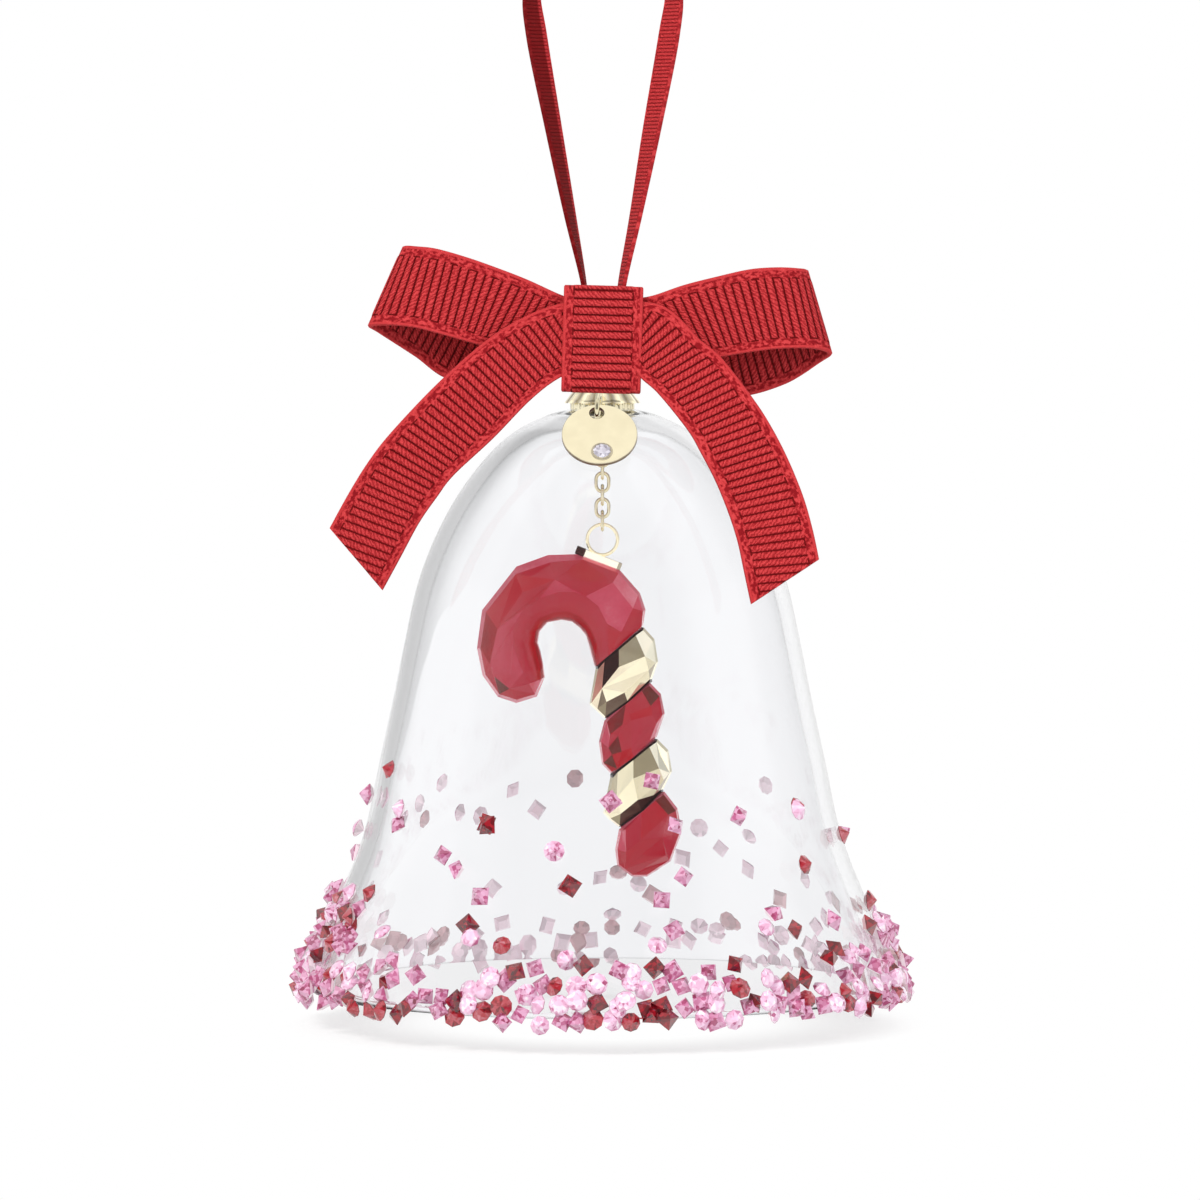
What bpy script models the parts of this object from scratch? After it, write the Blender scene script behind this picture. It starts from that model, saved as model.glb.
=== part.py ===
"""A clear glass Christmas bell with a gold cap, a ribbon bow, a dangling candy cane
and small faceted stones glued round its rim.

Metres, +Z up. The bell stands on its rim at z = 0 with its axis on Z, and its
front, with the bow and the tag, looks along -Y.
"""
import math
import random

import bmesh
import bpy
from mathutils import Matrix, Vector

MM = 0.001
FIT_GAP = 0.3 * MM                 # clearance left between pieces that touch

# Glass bell
BELL_RADIUS = 36.9 * MM
BELL_HEIGHT = 72.7 * MM
GLASS_WALL = 1.8 * MM
RIM_FACE_WIDTH = 1.35 * MM
GLASS_HOLE_RADIUS = 1.2 * MM
GLASS_SEGMENTS = 34
# outer outline from the rim up: shares of the radius and of the height
BELL_OUTLINE = (
    (0.990, 0.000), (1.000, 0.007), (0.986, 0.040), (0.943, 0.098), (0.897, 0.152),
    (0.840, 0.222), (0.797, 0.290), (0.755, 0.393), (0.710, 0.497), (0.669, 0.600),
    (0.626, 0.697), (0.564, 0.780), (0.483, 0.855), (0.378, 0.923), (0.280, 0.964),
    (0.171, 0.989), (0.114, 0.996),
)

# Gold cap: collar, petal crown with its lug, eyelet, and the fittings under the glass
COLLAR_RADIUS = 4.0 * MM
COLLAR_HOLE_RADIUS = 1.1 * MM
COLLAR_RIM_WIDTH = 0.55 * MM
COLLAR_THICKNESS = 0.35 * MM
COLLAR_HEIGHT = 0.63 * MM
CROWN_EDGE_RADIUS = 4.55 * MM
CROWN_SHOULDER_RADIUS = 3.85 * MM
CROWN_HEIGHT = 1.65 * MM
CROWN_SKIRT_DROP = 0.4 * MM
CROWN_SKIRT_THICKNESS = 0.3 * MM
CROWN_HOLE_RADIUS = 1.1 * MM
CROWN_WALL_LEAN = 0.05 * MM
# the crown's domed top: shares of its shoulder radius, its height and the petals' wave
CROWN_DOME = ((0.7, 0.9, 0.3), (1.0, 0.6, 0.8))
PETAL_COUNT = 12
PETAL_DEPTH = 0.1 * MM
LUG_RADIUS = 1.0 * MM
LUG_WIRE_RADIUS = 0.25 * MM
LUG_STUB_RADIUS = 0.375 * MM
LUG_HEIGHT_SHARE = 0.7             # of the crown's height
JOIN_DEPTH = 0.1 * MM              # how far a wire sinks into what it is soldered to
LUG_REACH = 1.45 * MM              # lug centre in front of the crown's shoulder
LUG_ACROSS = -0.25 * MM
SHANK_RADIUS = 0.8 * MM
EYELET_RADIUS = 1.5 * MM
EYELET_WIRE_RADIUS = 0.35 * MM
WASHER_RADIUS = 2.2 * MM
WASHER_THICKNESS = 0.45 * MM
NUT_RADIUS = 1.9 * MM
NUT_HEIGHT = 0.95 * MM
NUT_BORE_DEPTH = 0.6 * MM

# Chain, bail and candy cane
LINK_COUNT = 6
LINK_LENGTH = 2.72 * MM
LINK_WIDTH = 2.0 * MM
LINK_WIRE_RADIUS = 0.21 * MM
BAIL_RING_RADIUS = 1.9 * MM        # to the middle of the wire
BAIL_BAR_LENGTH = 6.0 * MM
BAIL_BAR_THICKNESS = 0.85 * MM
BAIL_BAR_DEPTH = 2.4 * MM
BAIL_BAR_SLOPE = math.radians(20.8)
BAIL_BAR_SHIFT = -0.35 * MM
CANE_HALF_DEPTH = 3.2 * MM
CANE_SECTION = ((0.0, 0.0), (0.16, -0.74), (0.5, -1.0), (0.86, -0.66),
                (1.0, 0.0), (0.86, 0.66), (0.5, 1.0), (0.16, 0.74))
CANE_CREST_SHIFT = 0.08            # the crest swings this share from side to side
# Each station of a cane piece: its outer point, its inner point (mm across and
# below the bail ring's middle) and its share of the half depth.
CANE_HOOK = (
    (-12.0, -19.9, -8.9, -19.8, 0.62), (-15.0, -17.05, -7.3, -17.2, 0.92),
    (-15.7, -13.7, -8.1, -13.0, 1.0), (-15.05, -8.85, -7.8, -11.6, 1.0),
    (-10.75, -3.5, -6.8, -10.5, 1.0), (-6.8, -2.15, -5.05, -10.15, 1.0),
    (-3.2, -2.05, -3.9, -10.4, 1.0), (2.2, -4.1, -2.7, -11.2, 1.0),
    (4.7, -6.8, -2.0, -12.3, 1.0), (5.4, -8.9, -1.5, -14.45, 0.97),
    (5.1, -10.8, -1.0, -15.95, 0.92),
)
CANE_GOLD_UPPER = (
    (5.22, -11.13, -0.86, -16.28, 0.92), (6.5, -12.6, -1.25, -18.6, 1.04),
    (6.95, -15.15, -1.7, -20.7, 1.04), (6.05, -17.7, 0.25, -22.45, 0.92),
)
CANE_MIDDLE = (
    (5.95, -18.0, 0.25, -22.75, 0.92), (7.3, -19.4, -0.35, -24.6, 1.04),
    (7.8, -21.85, -0.3, -27.6, 1.04), (6.8, -24.85, 1.0, -29.4, 0.92),
)
CANE_GOLD_LOWER = (
    (6.95, -25.12, 1.12, -29.72, 0.92), (8.35, -26.7, 0.5, -31.9, 1.02),
    (8.65, -29.0, 0.05, -34.1, 1.02), (7.6, -31.35, 2.05, -36.2, 0.9),
)
CANE_TIP = (
    (7.72, -31.66, 2.05, -36.5, 0.9), (9.4, -33.65, 1.6, -39.1, 1.0),
    (9.9, -36.7, 1.8, -40.9, 0.96), (8.55, -40.0, 2.5, -42.0, 0.8),
    (5.6, -42.45, 3.6, -42.5, 0.42),
)

# Tag and its oval ring
TAG_RADIUS = 4.65 * MM
TAG_THICKNESS = 0.55 * MM
TAG_TILT = math.radians(40.0)      # top leans back from upright by this
TAG_TURN = math.radians(-6.0)      # in its own plane
TAG_HOLE_RADIUS = 0.88 * MM
TAG_HOLE_FROM_EDGE = 1.34 * MM
TAG_STONE_RADIUS = 1.1 * MM
TAG_STONE_SEAT_GAP = 0.15 * MM
TAG_STONE_FROM_EDGE = 7.45 * MM
TAG_STONE_FLOOR = 0.2 * MM
# the tag's stone from its floor out: mm of rise and share of its radius
TAG_STONE_LEVELS = ((0.15, 0.7), (0.4, 1.0), (0.62, 0.6))
TAG_STONE_SIDES = 10
TAG_ACROSS = -0.35 * MM
TAG_HOLE_DROP = 0.705 * MM         # the hole's middle below the cap's foot
TAG_REST_GAP = 0.42 * MM
RING_WIRE_RADIUS = 0.3 * MM
RING_HALF_WIDTH = 1.35 * MM        # to the middle of the wire

# Ribbon
RIBBON_THICKNESS = 0.6 * MM
TAIL_CLEARANCE = 1.2 * MM          # least distance from a ribbon's middle to the glass
KNOT_WIDTH = 9.8 * MM
KNOT_LEAN = math.radians(1.6)
KNOT_CORNER_RADIUS = 1.5 * MM
# the knot's wrap in the YZ plane, mm forward (-) and above the cap's foot
KNOT_CORNERS = ((-10.6, 2.0), (-9.7, 15.1), (-2.2, 14.9), (-2.2, 4.9))
# Ribbon stations: mm across, mm forward (-) and mm above the cap's foot, then the
# ribbon's own width as a vector (mm across, forward, up).
LOOP_LEFT = (
    (-0.5, -7.4, 9.1, 0.0, 0.0, 8.8), (-4.9, -7.6, 9.3, 0.4, 0.0, 9.0),
    (-8.0, -8.3, 10.4, 2.2, 0.0, 9.6), (-12.5, -9.0, 12.2, 3.2, 0.0, 9.5),
    (-20.0, -9.3, 14.1, 3.8, 0.0, 9.2), (-24.6, -8.6, 14.7, 4.2, 0.0, 9.1),
    (-26.3, -6.5, 14.6, 4.6, 0.0, 9.2), (-24.9, -4.5, 13.8, 5.0, 0.0, 8.7),
    (-20.0, -3.4, 10.8, 5.3, 0.0, 8.4), (-13.5, -3.4, 8.2, 3.6, 0.0, 9.3),
    (-8.2, -4.1, 8.0, 1.6, 0.0, 9.6), (-4.9, -5.0, 9.3, 0.2, 0.0, 7.8),
    (-0.5, -5.4, 9.4, 0.0, 0.0, 7.8),
)
LOOP_RIGHT = (
    (0.5, -7.4, 9.1, 0.0, 0.0, 8.8), (4.9, -7.6, 9.3, -0.2, 0.0, 9.0),
    (8.0, -8.3, 10.2, -1.4, 0.0, 9.7), (13.0, -9.0, 11.1, -2.1, 0.0, 9.7),
    (20.0, -9.3, 12.2, -2.3, 0.0, 9.8), (25.2, -8.5, 11.9, -2.7, 0.0, 9.8),
    (26.8, -6.5, 11.6, -2.9, 0.0, 9.8), (25.0, -4.5, 10.0, -3.4, 0.0, 9.5),
    (19.5, -3.4, 7.6, -2.9, 0.0, 9.5), (13.0, -3.4, 6.7, -1.0, 0.0, 9.8),
    (8.2, -4.1, 7.8, -0.4, 0.0, 9.8), (4.9, -5.0, 9.3, 0.0, 0.0, 7.8),
    (0.5, -5.4, 9.4, 0.0, 0.0, 7.8),
)
TAIL_LEFT = (
    (-0.5, -8.7, 9.2, 0.0, 0.0, 8.6), (-4.9, -8.8, 8.6, -0.7, 0.0, 8.8),
    (-8.2, -9.7, 6.2, -2.0, 0.0, 8.8), (-13.0, -10.7, 2.9, -4.3, 0.0, 7.6),
    (-18.7, -11.1, -2.5, -5.3, 0.0, 7.3), (-24.4, -10.7, -8.6, -6.2, 0.0, 7.1),
    (-30.1, -9.6, -18.4, -7.2, 0.0, 7.8),
)
TAIL_RIGHT = (
    (0.5, -8.7, 9.2, 0.0, 0.0, 8.6), (4.9, -8.8, 8.8, 0.7, 0.0, 8.8),
    (7.4, -9.6, 7.0, 2.4, 0.0, 8.7), (10.0, -10.7, 4.1, 4.5, 0.0, 7.4),
    (13.9, -12.2, -1.5, 6.3, 0.0, 5.6), (17.6, -14.2, -7.5, 7.5, 0.0, 5.2),
    (20.2, -16.1, -13.4, 8.4, 0.0, 4.4), (22.1, -17.6, -21.1, 8.7, 0.0, 5.6),
)
HANG_RIBBON_WIDTH = 3.0 * MM
HANG_RIBBON_THICKNESS = 0.5 * MM
HANG_RIBBON_PINCH = 1.3 * MM       # its width where it is drawn through the eyelet
PINCHED_STATIONS = 3               # at each end of the route
# the hanging loop: mm across, forward (-) and above the eyelet's middle, then its
# width's turn from fore-and-aft towards across, in degrees
HANG_ROUTE = (
    (-0.2, 0.0, 0.45, 0), (-1.4, 0.0, 0.8, 0), (-1.95, -0.1, 2.6, 4),
    (-2.15, -0.35, 6.0, 8), (-2.7, -0.35, 10.5, 12), (-4.1, 0.0, 19.0, 35),
    (-6.0, 0.0, 30.0, 62), (-8.0, 0.0, 41.5, 72), (-8.6, 0.0, 47.5, 40),
    (-6.6, 0.0, 53.0, 8), (0.0, 0.0, 56.0, 0), (6.6, 0.0, 53.0, 8),
    (8.7, 0.0, 47.5, 40), (8.1, 0.0, 41.5, 72), (6.1, 0.0, 30.0, 62),
    (4.2, 0.0, 19.0, 35), (2.7, -0.35, 10.5, 12), (2.15, -0.35, 6.0, 8),
    (1.95, -0.1, 2.6, 4), (1.4, 0.0, 0.8, 0), (0.2, 0.0, 0.45, 0),
)

# Stones
STONE_SEED = 24
SECTOR_COUNT = 12
BED_THICKNESS = 0.45 * MM
BED_LOW = 1.0 * MM
BED_HIGH = 7.4 * MM
BED_END_GAP = math.radians(1.2)
ROUND_STONE_RADIUS = 1.3 * MM
SQUARE_STONE_HALF = 1.05 * MM
STONE_HEIGHT = 1.85 * MM
# a stone from its base out: shares of its height and of its radius
ROUND_STONE_LEVELS = ((0.0, 0.5), (0.55, 1.0), (1.0, 0.55))
SQUARE_STONE_LEVELS = ((0.0, 0.85), (0.35, 1.0), (1.0, 0.22))
STONE_SINK = 0.2 * MM              # into the adhesive
STONE_DRIFT = 0.15 * MM            # how far a stone strays from its row
STONE_ROWS = ((1.75 * MM, 5), (4.45 * MM, 4), (7.1 * MM, 3))
SECTOR_STONE_MARGIN = math.radians(2.9)
# loose stones higher up: degrees round from the front, mm above the rim, sides
LOOSE_STONES = (
    (-66, 28.0, 6), (-81, 24.5, 4), (-57, 23.5, 6), (-28, 22.5, 4),
    (-11, 19.5, 6), (-7, 15.5, 4), (2, 25.5, 4), (12, 28.0, 4),
    (17, 22.5, 4), (18, 16.5, 4), (54, 23.5, 6), (76, 19.5, 6),
    (-60, 13.0, 6), (-27, 14.0, 4), (150, 15.0, 4), (187, 24.0, 6),
)

GOLD = ((0.86, 0.76, 0.52), 0.22, 1.0)
CLEAR_GLASS = ((0.93, 0.95, 0.98), 0.03, 0.0)
RED_CRYSTAL = ((0.55, 0.02, 0.05), 0.05, 0.0)
RED_RIBBON = ((0.72, 0.05, 0.06), 0.7, 0.0)
ADHESIVE_STONES = ((0.75, 0.25, 0.42), 0.08, 0.0)
PINK_STONE = ((0.88, 0.45, 0.66), 0.06, 0.0)


def clear_scene():
    for item in list(bpy.data.objects):
        bpy.data.objects.remove(item, do_unlink=True)


def finish_material(name, finish):
    found = bpy.data.materials.get(name)
    if found:
        return found
    colour, roughness, metallic = finish
    made = bpy.data.materials.new(name)
    made.use_nodes = True
    shader = made.node_tree.nodes["Principled BSDF"]
    shader.inputs["Base Color"].default_value = (*colour, 1.0)
    shader.inputs["Roughness"].default_value = roughness
    shader.inputs["Metallic"].default_value = metallic
    return made


def add_piece(name, bm, finish_name, finish, origin=(0, 0, 0), smooth=False):
    """Turn a bmesh in world coordinates into an object whose origin is given."""
    bmesh.ops.recalc_face_normals(bm, faces=bm.faces)
    mesh = bpy.data.meshes.new(name)
    bm.transform(Matrix.Translation(-Vector(origin)))
    bm.to_mesh(mesh)
    bm.free()
    if smooth:
        mesh.shade_smooth()
        mesh.set_sharp_from_angle(angle=math.radians(35))
    mesh.materials.append(finish_material(finish_name, finish))
    piece = bpy.data.objects.new(name, mesh)
    piece.location = origin
    bpy.context.scene.collection.objects.link(piece)
    return piece


def combine(target, bm, name, operation="UNION"):
    """Join a hidden solid to the target, or cut it out, with an exact Boolean."""
    tool = add_piece(name, bm, "guide", CLEAR_GLASS)
    tool.hide_render = True
    tool.display_type = "WIRE"
    modifier = target.modifiers.new(name, "BOOLEAN")
    modifier.operation = operation
    modifier.solver = "EXACT"
    modifier.object = tool


def smooth_points(points, steps):
    """A Catmull-Rom curve through vectors of any length."""
    result = []
    for i in range(len(points) - 1):
        before = points[max(i - 1, 0)]
        start, end = points[i], points[i + 1]
        after = points[min(i + 2, len(points) - 1)]
        for step in range(steps):
            t = step / steps
            result.append(0.5 * (2 * start + (end - before) * t
                                 + (2 * before - 5 * start + 4 * end - after) * t ** 2
                                 + (3 * start - before - 3 * end + after) * t ** 3))
    result.append(points[-1].copy())
    return result


def spin_outline(outline, segments):
    """A closed (radius, height) outline turned about Z."""
    bm = bmesh.new()
    ring = [bm.verts.new((radius, 0, height)) for radius, height in outline]
    edges = [bm.edges.new((ring[i - 1], ring[i])) for i in range(len(ring))]
    bmesh.ops.spin(bm, geom=ring + edges, axis=(0, 0, 1), cent=(0, 0, 0),
                   angle=math.tau, steps=segments, use_merge=True)
    bmesh.ops.remove_doubles(bm, verts=bm.verts, dist=1e-7)
    return bm


def loft(bm, rings, closed=False):
    """Join rings of points of equal count, and cap the two ends of an open run."""
    rows = [[bm.verts.new(point) for point in ring] for ring in rings]
    count = len(rows[0])
    for i in range(len(rows) if closed else len(rows) - 1):
        lower, upper = rows[i], rows[(i + 1) % len(rows)]
        for j in range(count):
            k = (j + 1) % count
            bm.faces.new((lower[j], lower[k], upper[k], upper[j]))
    if not closed:
        bm.faces.new(rows[0])
        bm.faces.new(reversed(rows[-1]))
    return bm


def wire_loop(bm, path, normal, radius, sides=6):
    """A closed wire along a flat path whose plane has this normal."""
    rings = []
    for i, point in enumerate(path):
        along = (path[(i + 1) % len(path)] - path[i - 1]).normalized()
        outward = along.cross(normal)
        rings.append([point + radius * (math.cos(a) * outward + math.sin(a) * normal)
                      for a in (math.tau * (k + 0.5) / sides for k in range(sides))])
    return loft(bm, rings, closed=True)


def oval_path(centre, long_axis, short_axis, half_length, half_width, steps=5):
    """Points of a stadium shape: two half rounds joined by straight sides."""
    straight = half_length - half_width
    path = []
    for end in (1, -1):
        for step in range(steps + 1):
            angle = math.pi * (step / steps - 0.5)
            path.append(centre + long_axis * end * (straight + half_width * math.cos(angle))
                        + short_axis * end * half_width * math.sin(angle))
    return path


def circle_path(centre, first, second, radius, steps=16):
    return [centre + radius * (math.cos(a) * first + math.sin(a) * second)
            for a in (math.tau * k / steps for k in range(steps))]


def rod(bm, start, end, radius, sides=16):
    axis = end - start
    turn = axis.to_track_quat("Z", "Y").to_matrix().to_4x4()
    bmesh.ops.create_cone(bm, cap_ends=True, segments=sides, radius1=radius,
                          radius2=radius, depth=axis.length,
                          matrix=Matrix.Translation((start + end) / 2) @ turn)
    return bm


# ---- glass bell -----------------------------------------------------------------

OUTER_WALL = smooth_points([Vector((r * BELL_RADIUS, z * BELL_HEIGHT))
                            for r, z in BELL_OUTLINE[1:]], 2)
INNER_TOP = BELL_HEIGHT - GLASS_WALL


def glass_at(height):
    """The outer wall's radius at a height, and its outward normal as (radial, up)."""
    for low, high in zip(OUTER_WALL, OUTER_WALL[1:]):
        if height <= high.y:
            break
    share = (height - low.y) / (high.y - low.y)
    slope = (high - low).normalized()
    return low.x + share * (high.x - low.x), Vector((slope.y, -slope.x))


def glass_height(radius):
    """The outer wall's height at a radius on the shoulder or crown."""
    for low, high in zip(OUTER_WALL, OUTER_WALL[1:]):
        if high.x <= radius <= low.x and low.y > BELL_HEIGHT / 2:
            return low.y + (low.x - radius) / (low.x - high.x) * (high.y - low.y)
    return BELL_HEIGHT


def make_bell():
    inner = []
    for i in range(2, len(OUTER_WALL) - 1, 2):
        along = (OUTER_WALL[i + 1] - OUTER_WALL[i - 1]).normalized()
        inner.append(OUTER_WALL[i] + GLASS_WALL * Vector((-along.y, along.x)))
    inner = [point for point in inner if point.y > GLASS_WALL / 2 and point.x > COLLAR_RADIUS]
    flat_outer = Vector((BELL_OUTLINE[0][0] * BELL_RADIUS, 0))
    flat_inner = Vector((flat_outer.x - RIM_FACE_WIDTH, 0))
    outline = [flat_outer, *OUTER_WALL, Vector((GLASS_HOLE_RADIUS, BELL_HEIGHT)),
               Vector((GLASS_HOLE_RADIUS, INNER_TOP)), *reversed(inner), flat_inner]
    add_piece("bell_glass", spin_outline(outline, GLASS_SEGMENTS), "clear_glass",
              CLEAR_GLASS, smooth=True)


# ---- cap ------------------------------------------------------------------------

CAP_FOOT = BELL_HEIGHT             # the bow and the cap are measured from here
COLLAR_BASE = CAP_FOOT + FIT_GAP
COLLAR_TOP = COLLAR_BASE + COLLAR_THICKNESS
CROWN_BASE = COLLAR_TOP + FIT_GAP
CROWN_TOP = CROWN_BASE + CROWN_HEIGHT
EYELET_CENTRE = Vector((0, 0, CROWN_TOP + FIT_GAP + EYELET_WIRE_RADIUS + EYELET_RADIUS))
LUG_CENTRE = Vector((LUG_ACROSS, -(CROWN_SHOULDER_RADIUS + LUG_REACH),
                     CROWN_BASE + LUG_HEIGHT_SHARE * CROWN_HEIGHT))
WASHER_TOP = INNER_TOP - FIT_GAP
NUT_TOP = WASHER_TOP - WASHER_THICKNESS - FIT_GAP
NUT_BOTTOM = NUT_TOP - NUT_HEIGHT
AXIS_X, AXIS_Y, AXIS_Z = Vector((1, 0, 0)), Vector((0, 1, 0)), Vector((0, 0, 1))


def make_collar():
    lip = COLLAR_TOP - COLLAR_HEIGHT
    outline = [(COLLAR_HOLE_RADIUS, COLLAR_TOP), (COLLAR_RADIUS, COLLAR_TOP),
               (COLLAR_RADIUS, lip), (COLLAR_RADIUS - COLLAR_RIM_WIDTH, lip),
               (COLLAR_RADIUS - COLLAR_RIM_WIDTH, COLLAR_BASE),
               (COLLAR_HOLE_RADIUS, COLLAR_BASE)]
    add_piece("cap_collar", spin_outline(outline, 32), "gold", GOLD, smooth=True)


def crown_rings():
    """The crown's outline at each angle, its rim waved into petals."""
    inner_edge = CROWN_EDGE_RADIUS - CROWN_SKIRT_THICKNESS
    outline = ((CROWN_HOLE_RADIUS, CROWN_TOP, 0.0),
               *((radius * CROWN_SHOULDER_RADIUS, CROWN_BASE + rise * CROWN_HEIGHT, wave)
                 for radius, rise, wave in CROWN_DOME),
               (CROWN_EDGE_RADIUS, CROWN_BASE - CROWN_SKIRT_DROP, 1.0),
               (inner_edge, CROWN_BASE - CROWN_SKIRT_DROP, 0.6),
               (inner_edge - CROWN_WALL_LEAN, CROWN_BASE, 0.0),
               (CROWN_HOLE_RADIUS, CROWN_BASE, 0.0))
    steps = PETAL_COUNT * 4
    for step in range(steps):
        angle = math.tau * step / steps
        wave = PETAL_DEPTH * (abs(math.cos(PETAL_COUNT * angle / 2)) * 2 - 1)
        yield [((radius + share * wave) * math.cos(angle),
                (radius + share * wave) * math.sin(angle), height)
               for radius, height, share in outline]


def make_crown():
    crown = add_piece("cap_crown", loft(bmesh.new(), list(crown_rings()), closed=True),
                      "gold", GOLD)
    lug = wire_loop(bmesh.new(), circle_path(LUG_CENTRE, AXIS_X, AXIS_Y, LUG_RADIUS, 14),
                    AXIS_Z, LUG_WIRE_RADIUS)
    combine(crown, lug, "lug_ring")
    root = LUG_CENTRE + AXIS_Y * (LUG_RADIUS + LUG_REACH / 2)
    stub = rod(bmesh.new(), LUG_CENTRE + AXIS_Y * (LUG_RADIUS - JOIN_DEPTH), root,
               LUG_STUB_RADIUS, 10)
    combine(crown, stub, "lug_stub")


def make_eyelet():
    shank = rod(bmesh.new(), AXIS_Z * (NUT_TOP - NUT_BORE_DEPTH + FIT_GAP),
                EYELET_CENTRE - AXIS_Z * (EYELET_RADIUS - JOIN_DEPTH), SHANK_RADIUS)
    eyelet = add_piece("cap_eyelet", shank, "gold", GOLD, smooth=True)
    ring = wire_loop(bmesh.new(), circle_path(EYELET_CENTRE, AXIS_Y, AXIS_Z, EYELET_RADIUS),
                     AXIS_X, EYELET_WIRE_RADIUS)
    combine(eyelet, ring, "eyelet_ring")


def make_inner_fittings():
    hole = COLLAR_HOLE_RADIUS
    washer = [(hole, WASHER_TOP), (WASHER_RADIUS, WASHER_TOP),
              (WASHER_RADIUS, WASHER_TOP - WASHER_THICKNESS),
              (hole, WASHER_TOP - WASHER_THICKNESS)]
    add_piece("inner_washer", spin_outline(washer, 28), "gold", GOLD, smooth=True)
    nut = add_piece("inner_eye", rod(bmesh.new(), AXIS_Z * NUT_BOTTOM, AXIS_Z * NUT_TOP,
                                     NUT_RADIUS, 24), "gold", GOLD, smooth=True)
    bore = rod(bmesh.new(), AXIS_Z * (NUT_TOP - NUT_BORE_DEPTH),
               AXIS_Z * (NUT_TOP + FIT_GAP), hole)
    combine(nut, bore, "inner_eye_bore", "DIFFERENCE")
    ring = wire_loop(bmesh.new(), link_path(EYE_CENTRE, AXIS_Y), AXIS_X, LINK_WIRE_RADIUS)
    combine(nut, ring, "inner_eye_ring")


# ---- chain ----------------------------------------------------------------------

LINK_PITCH = LINK_LENGTH - 4 * LINK_WIRE_RADIUS - FIT_GAP
LINK_REACH = LINK_LENGTH / 2 - LINK_WIRE_RADIUS     # middle to its end wire
EYE_CENTRE = AXIS_Z * (NUT_BOTTOM - LINK_REACH + JOIN_DEPTH)
BAIL_CENTRE = EYE_CENTRE - AXIS_Z * (LINK_PITCH * LINK_COUNT + LINK_REACH
                                     + BAIL_RING_RADIUS - 2 * LINK_WIRE_RADIUS - FIT_GAP)


def link_path(centre, across):
    return oval_path(centre, AXIS_Z, across, LINK_REACH, LINK_WIDTH / 2 - LINK_WIRE_RADIUS)


def make_chain():
    for number in range(1, LINK_COUNT + 1):
        centre = EYE_CENTRE - AXIS_Z * LINK_PITCH * number
        across, normal = (AXIS_X, AXIS_Y) if number % 2 else (AXIS_Y, AXIS_X)
        link = wire_loop(bmesh.new(), link_path(centre, across), normal, LINK_WIRE_RADIUS)
        pivot = centre + AXIS_Z * (LINK_PITCH - LINK_REACH)
        add_piece(f"chain_link_{number}", link, "gold", GOLD, origin=pivot, smooth=True)


# ---- candy cane -----------------------------------------------------------------

CANE_PIVOT = BAIL_CENTRE + AXIS_Z * (BAIL_RING_RADIUS - 2 * LINK_WIRE_RADIUS - FIT_GAP)


def make_bail():
    ring = wire_loop(bmesh.new(), circle_path(BAIL_CENTRE, AXIS_X, AXIS_Z, BAIL_RING_RADIUS, 20),
                     AXIS_Y, LINK_WIRE_RADIUS)
    bail = add_piece("pendant_bail", ring, "gold", GOLD, origin=CANE_PIVOT, smooth=True)
    top = BAIL_CENTRE - AXIS_Z * (BAIL_RING_RADIUS + LINK_WIRE_RADIUS - JOIN_DEPTH)
    turn = Matrix.Rotation(BAIL_BAR_SLOPE, 4, "Y")
    middle = top + turn @ Vector((BAIL_BAR_SHIFT, 0, -BAIL_BAR_THICKNESS / 2))
    bar = bmesh.new()
    size = Matrix.Diagonal((BAIL_BAR_LENGTH, BAIL_BAR_DEPTH, BAIL_BAR_THICKNESS, 1))
    bmesh.ops.create_cube(bar, size=1, matrix=Matrix.Translation(middle) @ turn @ size)
    combine(bail, bar, "bail_bar")


def make_cane_piece(name, stations, finish_name, finish):
    rings = []
    for number, (outer_x, outer_z, inner_x, inner_z, depth) in enumerate(stations):
        outer = BAIL_CENTRE + Vector((outer_x, 0, outer_z)) * MM
        inner = BAIL_CENTRE + Vector((inner_x, 0, inner_z)) * MM
        swing = CANE_CREST_SHIFT * (1 if number % 2 else -1)
        rings.append([outer.lerp(inner, share + (swing if abs(rise) == 1 else 0))
                      + AXIS_Y * rise * depth * CANE_HALF_DEPTH
                      for share, rise in CANE_SECTION])
    add_piece(name, loft(bmesh.new(), rings), finish_name, finish, origin=CANE_PIVOT)


def make_cane():
    make_cane_piece("cane_hook_crystal", CANE_HOOK, "red_crystal", RED_CRYSTAL)
    make_cane_piece("cane_gold_upper", CANE_GOLD_UPPER, "gold", GOLD)
    make_cane_piece("cane_crystal_middle", CANE_MIDDLE, "red_crystal", RED_CRYSTAL)
    make_cane_piece("cane_gold_lower", CANE_GOLD_LOWER, "gold", GOLD)
    make_cane_piece("cane_crystal_tip", CANE_TIP, "red_crystal", RED_CRYSTAL)


# ---- tag ------------------------------------------------------------------------

TAG_DOWN = Vector((0, -math.sin(TAG_TILT), -math.cos(TAG_TILT)))
TAG_OUT = Vector((0, -math.cos(TAG_TILT), math.sin(TAG_TILT)))


def tag_centre():
    """The tag's middle: its hole hangs a set drop below the cap's foot, and its lower
    back edge lies just off the shoulder, as far forward as that height calls for.
    """
    back_edge = TAG_DOWN * TAG_RADIUS - TAG_OUT * TAG_THICKNESS / 2
    hole_rise = math.cos(TAG_TILT) * math.cos(TAG_TURN) * (TAG_RADIUS - TAG_HOLE_FROM_EDGE)
    height = CAP_FOOT - TAG_HOLE_DROP - hole_rise
    near, far = 0.0, BELL_RADIUS
    for _ in range(40):
        forward = (near + far) / 2
        reach = math.hypot(TAG_ACROSS, back_edge.y - forward)
        if glass_height(reach) + TAG_REST_GAP / math.cos(TAG_TILT) > height + back_edge.z:
            near = forward
        else:
            far = forward
    return Vector((TAG_ACROSS, -forward, height))


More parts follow.
